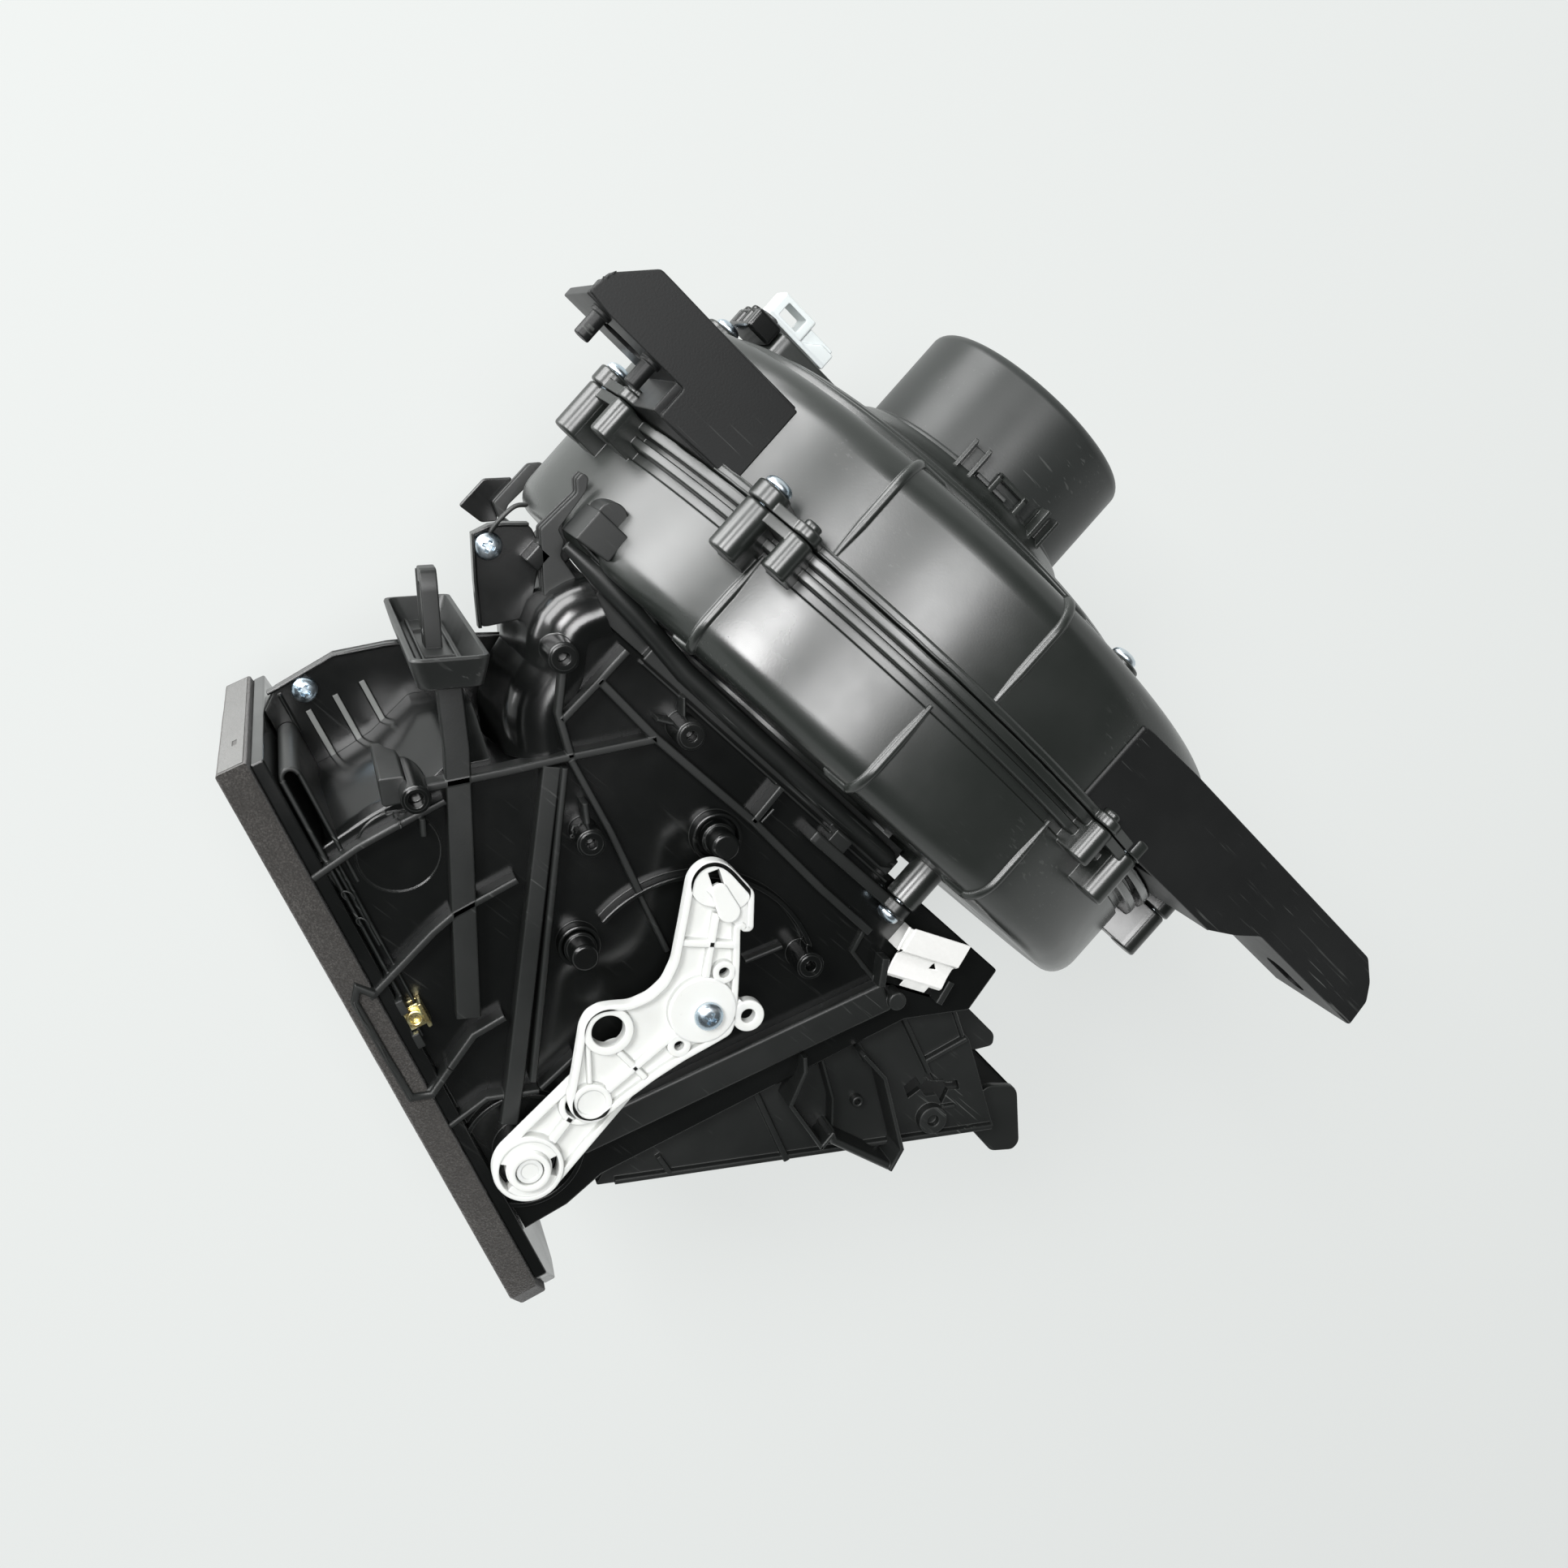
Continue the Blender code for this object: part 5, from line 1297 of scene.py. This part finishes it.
def torn_edge(points, z, seed, thick=0.35, wobble=0.5):
    """Flash left along a parting line: a thin uneven thread."""
    rng = np.random.default_rng(seed)
    run = smooth_run([(x, y, z) for x, y in points], 6)
    for point in run:
        point += Vector(rng.uniform(-wobble, wobble, 3))
    return sweep(run, thick, 6)


def seal_channel():
    """The rounded U-shaped rail behind the seal's flange, and the lips beside it."""
    shapes = []
    for depth, width, top in ((14.6, 1.6, 62.5), (19.4, 1.4, 60.5)):
        run = [seal_point(10 + 3 * i, depth) for i in range(13)]
        shapes.append(ribbon(run, width, 8.0, top))
    nose = circle(seal_point(10, 17.0), 2.4, 12, 66, 180)
    shapes.append(ribbon(nose, 1.5, 8.0, 62.0))
    run = [seal_point(36 + 6 * i, 14.8) for i in range(11)]
    shapes.append(ribbon(run, 0.9, CASE_Z - 2, 64.0, 0.3))
    run = [seal_point(36 + 6 * i, 17.2) for i in range(10)]
    shapes.append(ribbon(run, 0.8, CASE_Z - 2, 62.5, 0.3))
    for along in (47.0, 56.0):
        place = (*seal_point(along, 15.6), 65.0)
        loop = [Vector(place) + Vector((2.0 * math.cos(t), 1.3 * math.sin(t), 0.8 * math.sin(t)))
                for t in np.linspace(0, 5.2, 14)]
        shapes.append(sweep(loop, 0.28, 6))
    return shapes


def nut_pocket():
    """The walled pocket beside the flange that holds the speed nut."""
    walls = [(-57.5, -173.5), (-62.5, -174.8), (-60.2, -178.6), (-44, -185.5), (-28.0, -192.0),
             (-23.8, -187.6), (-25.0, -178.5)]
    shapes = [ribbon(walls, 2.2, CASE_Z - 2, RIB_Z + 1.5, 0.6)]
    shapes.append(torn_edge(walls[2:5], RIB_Z + 1.5, 11, 0.3, 0.35))
    for x, y in ((-48.5, -172.0), (-38.0, -177.0)):
        shapes.append(moved(soft_block((-2.4, -1.2, CASE_Z - 1), (2.4, 1.2, RIB_Z + 1), 0.4),
                            (x, y, 0), SEAL_ANGLE))
    return shapes


def louvre_fillet():
    """The steep glossy slope between the case's face and the lower louvred panel."""
    edge = [(-93.1, -149.2), (-88.6, -137.4), (-85.3, -125.3), (-84.5, -111.6), (-76, -101)]
    slope = [(0.0, 59.4), (0.6, 57.6), (2.4, 53), (4.8, 46), (7.4, 38), (9.6, 30), (10.8, 23),
             (11.2, 16)]
    return edge_band(edge, [(-2.0, 7.6), (-2.0, 59.4)] + slope + [(11.2, 7.6)])


def saddle():
    """The rounded shoulder at the case's upper left corner."""
    corner = [(-62, -88, 0), (-70, -79.5, 0), (-73, -68, 0), (-79, -58, 0), (-76, -50, 0)]
    turn = [(2.0 + 12.0 * math.sin(math.radians(t)), 50.5 + 12.0 * math.cos(math.radians(t)))
            for t in range(0, 91, 9)]
    tail = [(14.4, 44), (15.2, 36), (17.0, 28), (17.4, 22)]
    return edge_band(smooth_run(corner, 5), [(-2, 20), (-2, 61.5)] + turn + tail)


def scroll_side_bar():
    """The bars, the stop block and the trim that run between the case's wall and the scroll."""
    stop = prism([(-101.8, -38.4), (-101.9, -28.1), (-90.6, -28.3), (-90.3, -37.2)], 46, 70)
    bar = [(-100.6, -41.4, 60.8), (-88.0, -41.5, 61.6), (-73.5, -42.6, 61.6), (-62.8, -43.8, 61.4),
           (-50.0, -45.6, 60.8), (40.0, -46.8, 60.6), (43.0, -46.8, 59.8)]
    shapes = [
        sweep(bar, 3.2, 18, 0.85),
        block((-84, -50.5, 26), (44, -41.5, 57)),
        soft_block((-62, -51, 56), (44, -45, 60.5), 0.6),
        ribbon([(-62, -51.8), (44, -52.4)], 0.9, RIB_FOOT, 63.0, 0.3),
        soft_block((-104, -47, 30), (-93.5, -36.5, 44), 0.8),
        softened(stop, 0.6, 2, 50),
        # This dark round post behind the stop block stands in for a round hole there: a dark solid in place of the
        # shade inside the hole.
        cylinder((-96.8, -27.2), 4.4, 50, 65.4, "Z", 40, 0.3),
        cylinder((-89, -34), 6.0, 28, 40, "Z", 40, 0.8),
        soft_block((18, -55, 57), (25, -50, 66)),
    ]
    lip = [(-100.1, -37.8, 62), (-89.8, -38.7, 62.4), (-84.9, -39.4, 62.6), (-80.2, -38.7, 62.6),
           (-73.8, -39, 62.4), (-65.9, -40.8, 62)]
    shapes.append(sweep(smooth_run(lip, 5), 0.7, 10, 2.0))
    return shapes


def strap():
    x, z = STRAP_AT
    arm = soft_block((13.5, -58.4, z - 4), (x + 1, -54.6, z + 2.2), 0.8)
    hook = soft_block((12.0, -58.5, 56), (17.5, -54.5, z + 2), 0.7)
    collar = cylinder(STRAP_AT, 5.0, -58.5, -54.4, "Y", 40, 0.8)
    hole = cylinder(STRAP_AT, 2.0, -60, -53, "Y", 20)
    return boolean([arm, hook, collar], [hole])


def clip_arms():
    """The two posts that hold the spring clip, and the pocket below it."""
    return [
        ribbon([(60.4, -70.5), (65.8, -78.0)], 2.6, 50, 66.5),
        ribbon([(84.6, -62.6), (86.4, -70.5)], 2.6, 50, 65.5),
        ribbon([(50, -66.5), (52.5, -76), (66, -78.5)], 1.6, 52, 61.5, 0.4),
        ribbon([(67, -78), (87, -70)], 1.6, 48, 60.0, 0.4),
    ]


def fresh_opening():
    """The fresh-air opening behind the seal, cut through the case and its flange."""
    return seal_prism([(38, 52), (166, 52), (166, -50), (12, -50), (12, -6), (38, -6)],
                      SEAL_THICK - 3, 22.0)


def intake_case_front():
    outline = case_outline()
    body = softened(prism(outline, 0.15, CASE_Z), 0.8, 3)
    inlet = cylinder((0, 0), INLET_HOLE_R - 1, CASE_TOP_Y - 6, CASE_TOP_Y + 3, "Y", 64)
    recirculation = prism([(50, -168), (80, -103), (92, -108), (62, -174)], -50, 50)
    hollow = prism(inset(outline, WALL), -5, CASE_Z - WALL)
    flange_room = seal_prism([(-40, 120), (240, 120), (240, -120), (-40, -120)], -20,
                             SEAL_THICK + FRAME_THICK + 0.6)
    holes = [cylinder(DOOR_PIVOT, 4.6, 40, 80, "Z", 32),
             cylinder(DRIVE_PIVOT, 1.9, 50, 90, "Z", 20)]
    rooms = [inlet, fresh_opening(), recirculation, hollow, flange_room]
    shell = boolean([body], rooms + holes)
    shapes = [shell, louvre_fillet(), saddle()] + wall_bosses()
    return piece("case_front", "case_plastic", shapes, "intake_case_front", smooth=35.0)


def case_ribs():
    """The ribs, rails and holders that stand on the case; their matt tops look paler."""
    shapes = [ribbon(points, width, RIB_FOOT, top, 0.55) for points, width, top in wall_ribs()]
    shapes.append(softened(beam((23.0, -174.5), (70.5, -79.2), 10.4, RIB_FOOT, 65.2), 1.2, 3))
    shapes.append(cylinder((73.5, -78.5), 3.0, RIB_FOOT, RIB_Z + 1.0, "Z", 32, 0.5))
    tab = rounded([(-97.5, -124.5), (-92.5, -119.0), (-86.5, -124.5), (-91, -130)], 0.8, 2)
    shapes.append(softened(prism(tab, 24, 65), 0.6))
    shapes += seal_channel() + nut_pocket()
    shapes += scroll_side_bar() + [strap()] + clip_arms()
    shapes.append(torn_edge([(-44, -103), (-46, -101), (-45, -97.5)], 67, 5, 0.3))
    shapes.append(torn_edge([(-91, -131), (-86.5, -129.5), (-84, -131)], 66, 6, 0.3))
    return extra("case_ribs", shapes, 35.0, "rib_plastic")


# Foam seal.

SEAL_OUTLINE = [(0, 66), (188, 66), (200, 52), (204, 34), (204, -46), (192, -61), (8, -61), (0, -53)]
FOAM_WOBBLE = 0.18
SEAL_WINDOW = [(14, 52), (182, 52), (190, 40), (190, -42), (182, -48), (14, -48)]


def ray_hit(polygon, centre, angle):
    """Where a ray from the centre leaves the polygon."""
    way = Vector((math.cos(angle), math.sin(angle)))
    best = None
    for i in range(len(polygon)):
        a = Vector(polygon[i - 1]) - centre
        edge = Vector(polygon[i]) - centre - a
        cross = way.x * edge.y - way.y * edge.x
        if abs(cross) < 1e-9:
            continue
        t = (a.x * edge.y - a.y * edge.x) / cross
        u = (a.x * way.y - a.y * way.x) / cross
        if t > 0 and -1e-6 <= u <= 1 + 1e-6 and (best is None or t < best):
            best = t
    return centre + way * best


def padded_ring(outer, inner, centre, thick, place, seed, roundness):
    """A soft flat ring: rounded edges, a slightly crowned face and an uneven surface."""
    rng = np.random.default_rng(seed)
    centre = Vector(centre)
    turns = list(np.linspace(0, 2 * math.pi, 220, endpoint=False))
    for corner in list(outer) + list(inner):
        way = Vector(corner) - centre
        turns.append(math.atan2(way.y, way.x) % (2 * math.pi))
    turns = sorted(set(round(t, 4) for t in turns))
    section = []
    for centre_u, centre_d, start in ((0, 0, 180), (1, 0, 270), (1, 1, 0), (0, 1, 90)):
        for i in range(5):
            t = math.radians(start + 90 * i / 4)
            section.append((centre_u, centre_d, math.cos(t), math.sin(t)))
    slow = rng.uniform(-1, 1, (len(turns), 3))
    for _ in range(3):
        slow = (slow + np.roll(slow, 1, 0) + np.roll(slow, -1, 0)) / 3
    loops = []
    for k, turn in enumerate(turns):
        first = ray_hit(outer, centre, turn)
        last = ray_hit(inner, centre, turn)
        across = (last - first).normalized()
        width = (last - first).length
        loop = []
        for u, d, cu, cd in section:
            along = (roundness + cu * roundness) if u == 0 else (width - roundness + cu * roundness)
            depth = (roundness + cd * roundness) if d == 0 else (thick - roundness + cd * roundness)
            jitter = rng.uniform(-FOAM_WOBBLE, FOAM_WOBBLE, 2) * 0.5
            jitter = jitter + slow[k, :2] * FOAM_WOBBLE * 1.5
            point = first + across * (along + jitter[0] * (1 if u else 0.6))
            loop.append(place(point, depth + jitter[1] * (0.5 if d else 0.2)))
        loops.append(loop)
    return loft(loops, closed=True)


def foam_seal():
    def place(point, depth):
        return (*seal_point(point.x, max(0.0, min(SEAL_THICK, depth))), point.y)

    pad = padded_ring(SEAL_OUTLINE, SEAL_WINDOW, (100, 2), SEAL_THICK, place, 7, 0.9)
    obj = piece("seal_foam", "foam", [pad], "foam_seal", smooth=60.0, weighted=False)
    skin = [(0.12, -51), (0.12, 64.2), (-0.18, 64.2), (-0.18, -51)]
    face = seal_prism(skin, 0.9, SEAL_THICK - 0.9)
    slit = seal_prism([(-1, 34), (1.2, 34), (1.2, 40), (-1, 40)], 4.5, 6.0)
    # The end face is skinned with the paler foam: painted light on that face.
    end = piece("seal_foam_end", "foam", [boolean([face], [slit])], (), body="housing",
                material=MATERIALS["foam_end"])
    return obj, end


def seal_flange():
    def edge(i):
        return [(i, 66 - i), (188 - i, 66 - i), (200 - i, 52 - i), (204 - i, 34), (204 - i, i - 46),
                (192 - i, i - 61), (8 + i, i - 61), (i, i - 53)]

    plate = softened(seal_prism(edge(1.5), SEAL_THICK + 0.3, SEAL_THICK + 0.3 + FRAME_THICK), 0.6, 3)
    return piece("flange_seal", "case_plastic", [boolean([plate], [fresh_opening()])],
                 "seal_flange")


# Louvred panel, tray, bracket, duct and small metal parts.


def side_pocket_outline():
    inside = SEAL_THICK + 0.6
    return [
        seal_point(4, inside), (-127, -131), (-121, -112), (-111, -99), (-97, -84), (-84, -72),
        (-70, -90), (-86, -130), seal_point(38, inside),
    ]


PANEL_LOW = 5.3
PANEL_TOP = 7.3
PANEL_SCREW = (-120, -126)
LOUVRE_RUNS = [((-114.9, -130.4), (-93.5, -139.1)), ((-112.0, -121.6), (-92.2, -129.7)),
               ((-108.8, -113.2), (-89.8, -121.0))]


def louvre_blade(start, end):
    """A thin slat that leans across its slot."""
    a, b = Vector((*start, PANEL_TOP + 0.1)), Vector((*end, PANEL_TOP + 0.1))
    across = (b - a).normalized().cross(Vector((-0.18, 0.12, 0.976))).normalized()
    rise = (b - a).normalized().cross(across).normalized()
    loops = []
    for point in (a, b):
        loops.append([point + across * u + rise * w for u, w in
                      ((-0.85, -0.2), (0.85, -0.2), (0.85, 0.2), (-0.85, 0.2))])
    return loft(loops)


def louvred_panel():
    outline = inset(side_pocket_outline(), 0.5)
    plate = softened(prism(outline, PANEL_LOW, PANEL_TOP), 0.4)
    keep_off = prism(inset(case_outline(), -0.3), 0, 20)
    frame_off = seal_prism([(-20, 80), (220, 80), (220, -80), (-20, -80)], 0, SEAL_THICK + 5)
    slots = [beam(a, b, 2.2, 0, 12) for a, b in LOUVRE_RUNS]
    rim = ribbon([(-127.5, -134), (-126.3, -131), (-120.4, -112.6), (-110.6, -99.8), (-97, -85.4)],
                 1.2, 5.4, 9.0, 0.4)
    web = ribbon([(-124.5, -132), (-112.5, -137)], 1.0, 5.4, 8.6, 0.3)
    screw_hole = cylinder(PANEL_SCREW, 1.9, 0, 12, "Z", 20)
    plate = boolean([plate], [keep_off, frame_off, screw_hole] + slots)
    return piece("panel_louvred", "case_plastic", [plate, rim, web], "louvred_panel")


def louvre_slats():
    """The slats that lean over the panel's slots; their pale grey is painted light, for the light that shows
    through the slots.
    """
    blades = [louvre_blade(*run) for run in LOUVRE_RUNS]
    return extra("louvre_slats", blades, 32.0, "slat_plastic")


TRAY_AT = (-103.6, -90.0)
TRAY_ANGLE = 45.0


def harness_tray():
    """A deep boat-shaped tray; its sections are (Y, (half width, low Z, high Z, corner radius))."""
    def hull(sections):
        loops = []
        for y, (half, low, high, radius) in sections:
            outline = rounded([(-half, low), (half, low), (half, high), (-half, high)], radius, 4)
            loops.append([(x, y, z) for x, z in outline])
        return loft(loops)

    boat = hull([(0.0, (7.6, -11, 88, 3.5)), (0.6, (8.6, -12.4, 89.4, 3.5)),
                 (4.5, (9.6, -14, 91, 3.5)), (8.4, (10.5, -15, 92, 3.5)),
                 (9.0, (10.2, -14.7, 91.7, 3.3))])
    inside = hull([(2.0, (6.2, -9.5, 86.5, 3.0)), (6.0, (7.8, -12, 89, 3.0)),
                   (10.5, (9.6, -14, 91, 3.0))])
    blade = prism(rounded([(1, 28), (20, 28), (25, 29.5), (25, 38.5), (20, 40), (1, 40)], 1.6, 3),
                  -2.5, 2.5, "X")
    hole = prism(rounded([(5.5, 31), (20.5, 31), (20.5, 37), (5.5, 37)], 1.2, 3), -6, 6, "X")
    trim = soft_block((-2.9, 6.6, 29.2), (-2.2, 24.0, 30.2), 0.2)
    shapes = [boolean([boat], [inside]), softened(boolean([blade], [hole]), 0.45, 2, 50), trim]
    shapes.append(soft_block((-2.2, 1.4, 82), (2.2, 6.5, 86), 0.4))
    for x in (-4.6, 4.6):
        shapes.append(soft_block((x - 0.4, 1.4, -6), (x + 0.4, 3.4, 84), 0.2))
    for z in (12, 56, 70):
        shapes.append(soft_block((-5.0, 1.4, z - 0.5), (5.0, 3.0, z + 0.5), 0.2))
    shapes.append(soft_block((-3.0, -3, 8), (3.0, 1, 58), 0.6))
    shapes = [moved(shape, (*TRAY_AT, 0), TRAY_ANGLE) for shape in shapes]
    return piece("tray_harness", "case_plastic", shapes, "harness_tray",
                 material=MATERIALS["rib_plastic"])


def harness_bracket():
    plate = rounded([(-119, -56), (-114, -48), (-108, -43), (-100, -47), (-90, -64), (-99, -76)], 3.0)
    plate = boolean([prism(plate, 36, 39)], [cylinder((-113, -56), 1.8, 30, 41, "Z", 20)])
    rim = [(-99, -75.4), (-109, -66), (-118.3, -56.4), (-116.4, -51.5), (-113.6, -48.3),
           (-108.4, -43.6)]
    far = rounded([(-116.6, -53.2), (-116.4, -41.3), (-109.7, -34.6), (-107.4, -43.9), (-104.1, -48.8),
                   (-107.6, -52.5)], 0.8, 2)
    shapes = [softened(plate, 0.4, 2, 50), ribbon(rim, 1.0, 36, 41.2, 0.35)]
    shapes.append(softened(prism(far, -31, -29), 0.4))
    shapes.append(soft_block((-104, -52, -30), (-99, -46, 49), 0.5))
    return piece("bracket_harness", "case_plastic", shapes, "harness_bracket")


def bracket_fins():
    """The stacked fins of the bracket, and the curled strip over its screw."""
    near = rounded([(-106.5, -42.5), (-105.5, -27.8), (-108.3, -25.0), (-108.1, -22.5), (-106.0, -22.4),
                    (-104.0, -25.6), (-102.7, -39.1), (-99.2, -40.4), (-97.1, -44.4), (-88, -46.5),
                    (-86.4, -62.8)], 0.7, 2)
    far = rounded([(-109.8, -45.1), (-109.5, -28.1), (-106.5, -24.8), (-104.7, -24.6), (-105.8, -42.4),
                   (-103.5, -48.3)], 0.7, 2)
    shapes = [softened(prism(near, z, z + 1.2), 0.35) for z in (39.4, 43.6, 47.8)]
    shapes += [softened(prism(far, z, z + 1.2), 0.35) for z in (-28.6, -24.4)]
    curl = [(-115.2, -53.2, 41), (-115.9, -48.0, 43), (-115.2, -42.5, 43), (-112.6, -39.6, 42)]
    shapes.append(sweep(smooth_run(curl), 0.7, 10, 1.8))
    return extra("bracket_fins", shapes, 32.0, "rib_plastic")


DUCT_TOP = 54.0
DUCT_BOSS = (119.9, -101.7)


def recirculation_duct():
    outline = [(41.5, -179), (43, -185.6), (142.2, -90.6), (139.9, -89.6), (111.4, -73.4), (107.9, -73.0),
               (98.7, -68.0), (85.6, -80)]
    body = softened(prism(rounded(outline, 1.0, 3), -DUCT_TOP, DUCT_TOP), 0.7, 3)
    inside = [(46, -178.3), (140.5, -88.6), (152, -66), (124, -52), (109.5, -75.4), (98.5, -71.2),
              (80, -88), (38, -174)]
    ragged = [(104.5, -99.5), (105.2, -94.4), (109.4, -95.4), (108.6, -90.2), (113.2, -91.6),
              (118.6, -86.4), (121.6, -88.2), (118.4, -90.8), (120.2, -95.9), (116.2, -94.6),
              (113.4, -97.4), (110.0, -96.6), (108.8, -101.6)]
    hollow = prism(inside, WALL - DUCT_TOP, DUCT_TOP - WALL)
    shell = boolean([body], [hollow, prism(ragged, 50, 60)])
    right_lip = [(135.5, -81.4), (142.7, -76.2), (145.9, -76.8), (160.4, -89.7), (160.6, -93.2),
                 (154.1, -98.5), (141.0, -97.0), (133.0, -90.0)]
    left_lip = [(102.0, -70.0), (107.1, -65.9), (122.9, -66.9), (125.4, -70.1), (120.6, -76.0),
                (110.0, -76.0)]
    shapes = [shell]
    for lip in (right_lip, left_lip):
        rim = boolean([prism(rounded(lip, 1.6, 4), -50, 46)], [prism(inside, -43, 43)])
        shapes.append(softened(rim, 0.8, 2, 50))
    for run, width, top in (
        ([(59.1, -129.1), (88.4, -142.1)], 2.2, 56.4), ([(76.0, -97.2), (85.9, -100.2)], 2.2, 56.6),
        ([(85.0, -81.6), (107.1, -90.3)], 1.8, 56.4), ([(103.3, -88.1), (109.2, -73.8)], 1.8, 56.4),
        ([(52, -166), (59, -168)], 1.8, 56.4), ([(120.2, -97.0), (123.6, -93.6)], 1.4, 55.6),
        ([(46.5, -180.6), (140.2, -90.9)], 2.0, 56.2),
        ([(86.5, -80.6), (98.9, -69.4), (108, -74)], 1.4, 55.4),
    ):
        shapes.append(ribbon(run, width, DUCT_TOP - 1, top))
    shapes.append(ring(DUCT_BOSS, 5.0, 1.9, DUCT_TOP - 1, 57.5, "Z", 48, 0.6))
    shapes.append(cylinder(DUCT_BOSS, 2.0, DUCT_TOP - 2, DUCT_TOP + 1, "Z", 20))
    shapes.append(torn_edge([(108, -93), (112, -91), (117, -88)], 54.6, 8, 0.35, 0.6))
    return piece("duct_recirculation", "case_plastic", shapes, "recirculation_duct", smooth=35.0,
                 material=MATERIALS["rib_plastic"])


def duct_stay():
    """The walled stay on top of the duct, with its thick front lip."""
    shapes = [
        ribbon([(62.5, -110.8), (66.2, -114.3), (70.3, -125.6), (89.4, -130.2)], 1.5, 52.5, 66),
        ribbon([(89.2, -130.6), (88.9, -124.0)], 1.5, 50, 66),
        ribbon([(88.4, -124.6), (91.6, -126.2), (114.2, -121.6)], 2.8, 50, 65.2, 1.1),
        ribbon([(114.6, -122.4), (112.6, -114.6), (89.6, -100.0), (78, -98.6)], 1.5, 52.5, 66),
        ribbon([(71.0, -108.5), (84, -116.5), (90.6, -123.5)], 1.2, 53, 59.5, 0.4),
        ring((93.5, -112.6), 2.0, 0.9, 53, 57.0, "Z", 32, 0.4),
    ]
    return extra("duct_stay", shapes, 35.0, "rib_plastic")


def recirculation_door():
    x, y = DOOR_PIVOT
    plate = soft_block((5, -1.2, -DUCT_TOP), (92, 1.2, DUCT_TOP), 0.4)
    ribs = [soft_block((12, -2.0, z - 0.8), (88, 2.0, z + 0.8), 0.4) for z in (-30, -10, 10, 30)]
    sleeve = ring((0, 0), 7.0, 4.3, -DUCT_TOP, DUCT_TOP, "Z", 48, 0.5)
    shapes = [moved(s, (x, y, 0), DOOR_ANGLE) for s in [plate, sleeve] + ribs]
    return piece("door_recirculation", "case_plastic", shapes, "recirculation_door")


def door_seal():
    def side(sign):
        def place(point, depth):
            local = Vector((point.x, sign * (1.5 + max(0.0, min(2.5, depth))), 0.0))
            local.rotate(Matrix.Rotation(math.radians(DOOR_ANGLE), 3, "Z"))
            return (DOOR_PIVOT[0] + local.x, DOOR_PIVOT[1] + local.y, point.y)

        outer = [(12, -56), (96, -56), (96, 56), (12, 56)]
        inner = [(22, -45), (82, -45), (82, 45), (22, 45)]
        return padded_ring(outer, inner, (52, 0), 2.5, place, 21 + sign, 0.8)

    obj = piece("seal_door", "door_seal_foam", [side(1), side(-1)], "door_seal", smooth=60.0,
                weighted=False)
    return obj


def spring_clip():
    section = [(8.6, 69.6), (4.0, 69.4), (0.6, 69.1), (0.0, 68.4), (-0.4, 66.8), (-1.6, 66.1),
               (-4.6, 65.9), (-8.2, 66.3), (-9.3, 65.4)]
    thick = 0.75
    outline = list(section) + [(v, z - thick) for v, z in section[::-1]]

    def spot(u, v, z):
        flat = Vector((u + 0.12 * v, v))
        flat.rotate(Matrix.Rotation(math.radians(21.8), 2))
        return (61.6 + flat.x, -65.6 + flat.y, z + 0.05 * u)

    def strip(start, end, points):
        return loft([[spot(u, v, z) for v, z in points] for u in (start, end)])

    hole = cylinder((74.8, -62.8), 1.5, 60, 75, "Z", 3)
    leaf = softened(boolean([strip(0.0, 20.0, outline)], [hole]), 0.2, 1, 50)
    tab = strip(7.0, 16.0, [(-8.0, 66.2), (-11.6, 64.6), (-11.6, 63.9), (-8.0, 65.5)])
    tab = softened(tab, 0.2, 1, 50)
    curl = strip(-1.6, 0.6, [(8.2, 69.3), (0.8, 68.6), (0.8, 67.9), (8.2, 68.6)])
    roll = sweep([spot(-1.5, v, 68.4) for v in (8.4, 0.6)], 1.2, 14)
    leg = soft_block((60, -66, 55), (61.0, -58, 68), 0.2)
    return piece("clip_spring", "spring_steel", [leaf, tab, curl, roll, leg], "duct_spring_clip",
                 smooth=40.0)


def speed_nut():
    low = CASE_Z
    shapes = [
        soft_block((-4, -3.5, low + 0.1), (4, 3.5, low + 1.3), 0.3),
        soft_block((-4, 2.2, low + 0.1), (4, 3.5, low + 7), 0.4),
        soft_block((-3.6, -3.3, low + 3.5), (3.6, 2.6, low + 4.4), 0.3),
        ring((0, 0), 2.6, 1.5, low + 4, low + 6.2, "Z", 32, 0.4),
    ]
    for x in (-3.8, 3.8):
        bend = [(x, -3.2, low + 1.0), (x, -4.2, low + 2.4), (x, -3.2, low + 4.0)]
        shapes.append(sweep(bend, 0.5, 8))
    shapes = [moved(shape, (-43, -172.5, 0), SEAL_ANGLE) for shape in shapes]
    return piece("nut_speed", "yellow_zinc", shapes, "speed_nut")


drive_lever()
crank_lever()
door_shaft()
intake_case_front()
case_ribs()
foam_seal()
seal_flange()
louvred_panel()
louvre_slats()
harness_tray()
harness_bracket()
bracket_fins()
recirculation_duct()
duct_stay()
recirculation_door()
door_seal()
spring_clip()
speed_nut()
make_camera()
make_studio()


def plain(corner):
    return [float(v) for v in corner]


sizes = {"cad": [plain(c) for c in CAD_BOX], "visual": [plain(c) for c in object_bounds()]}
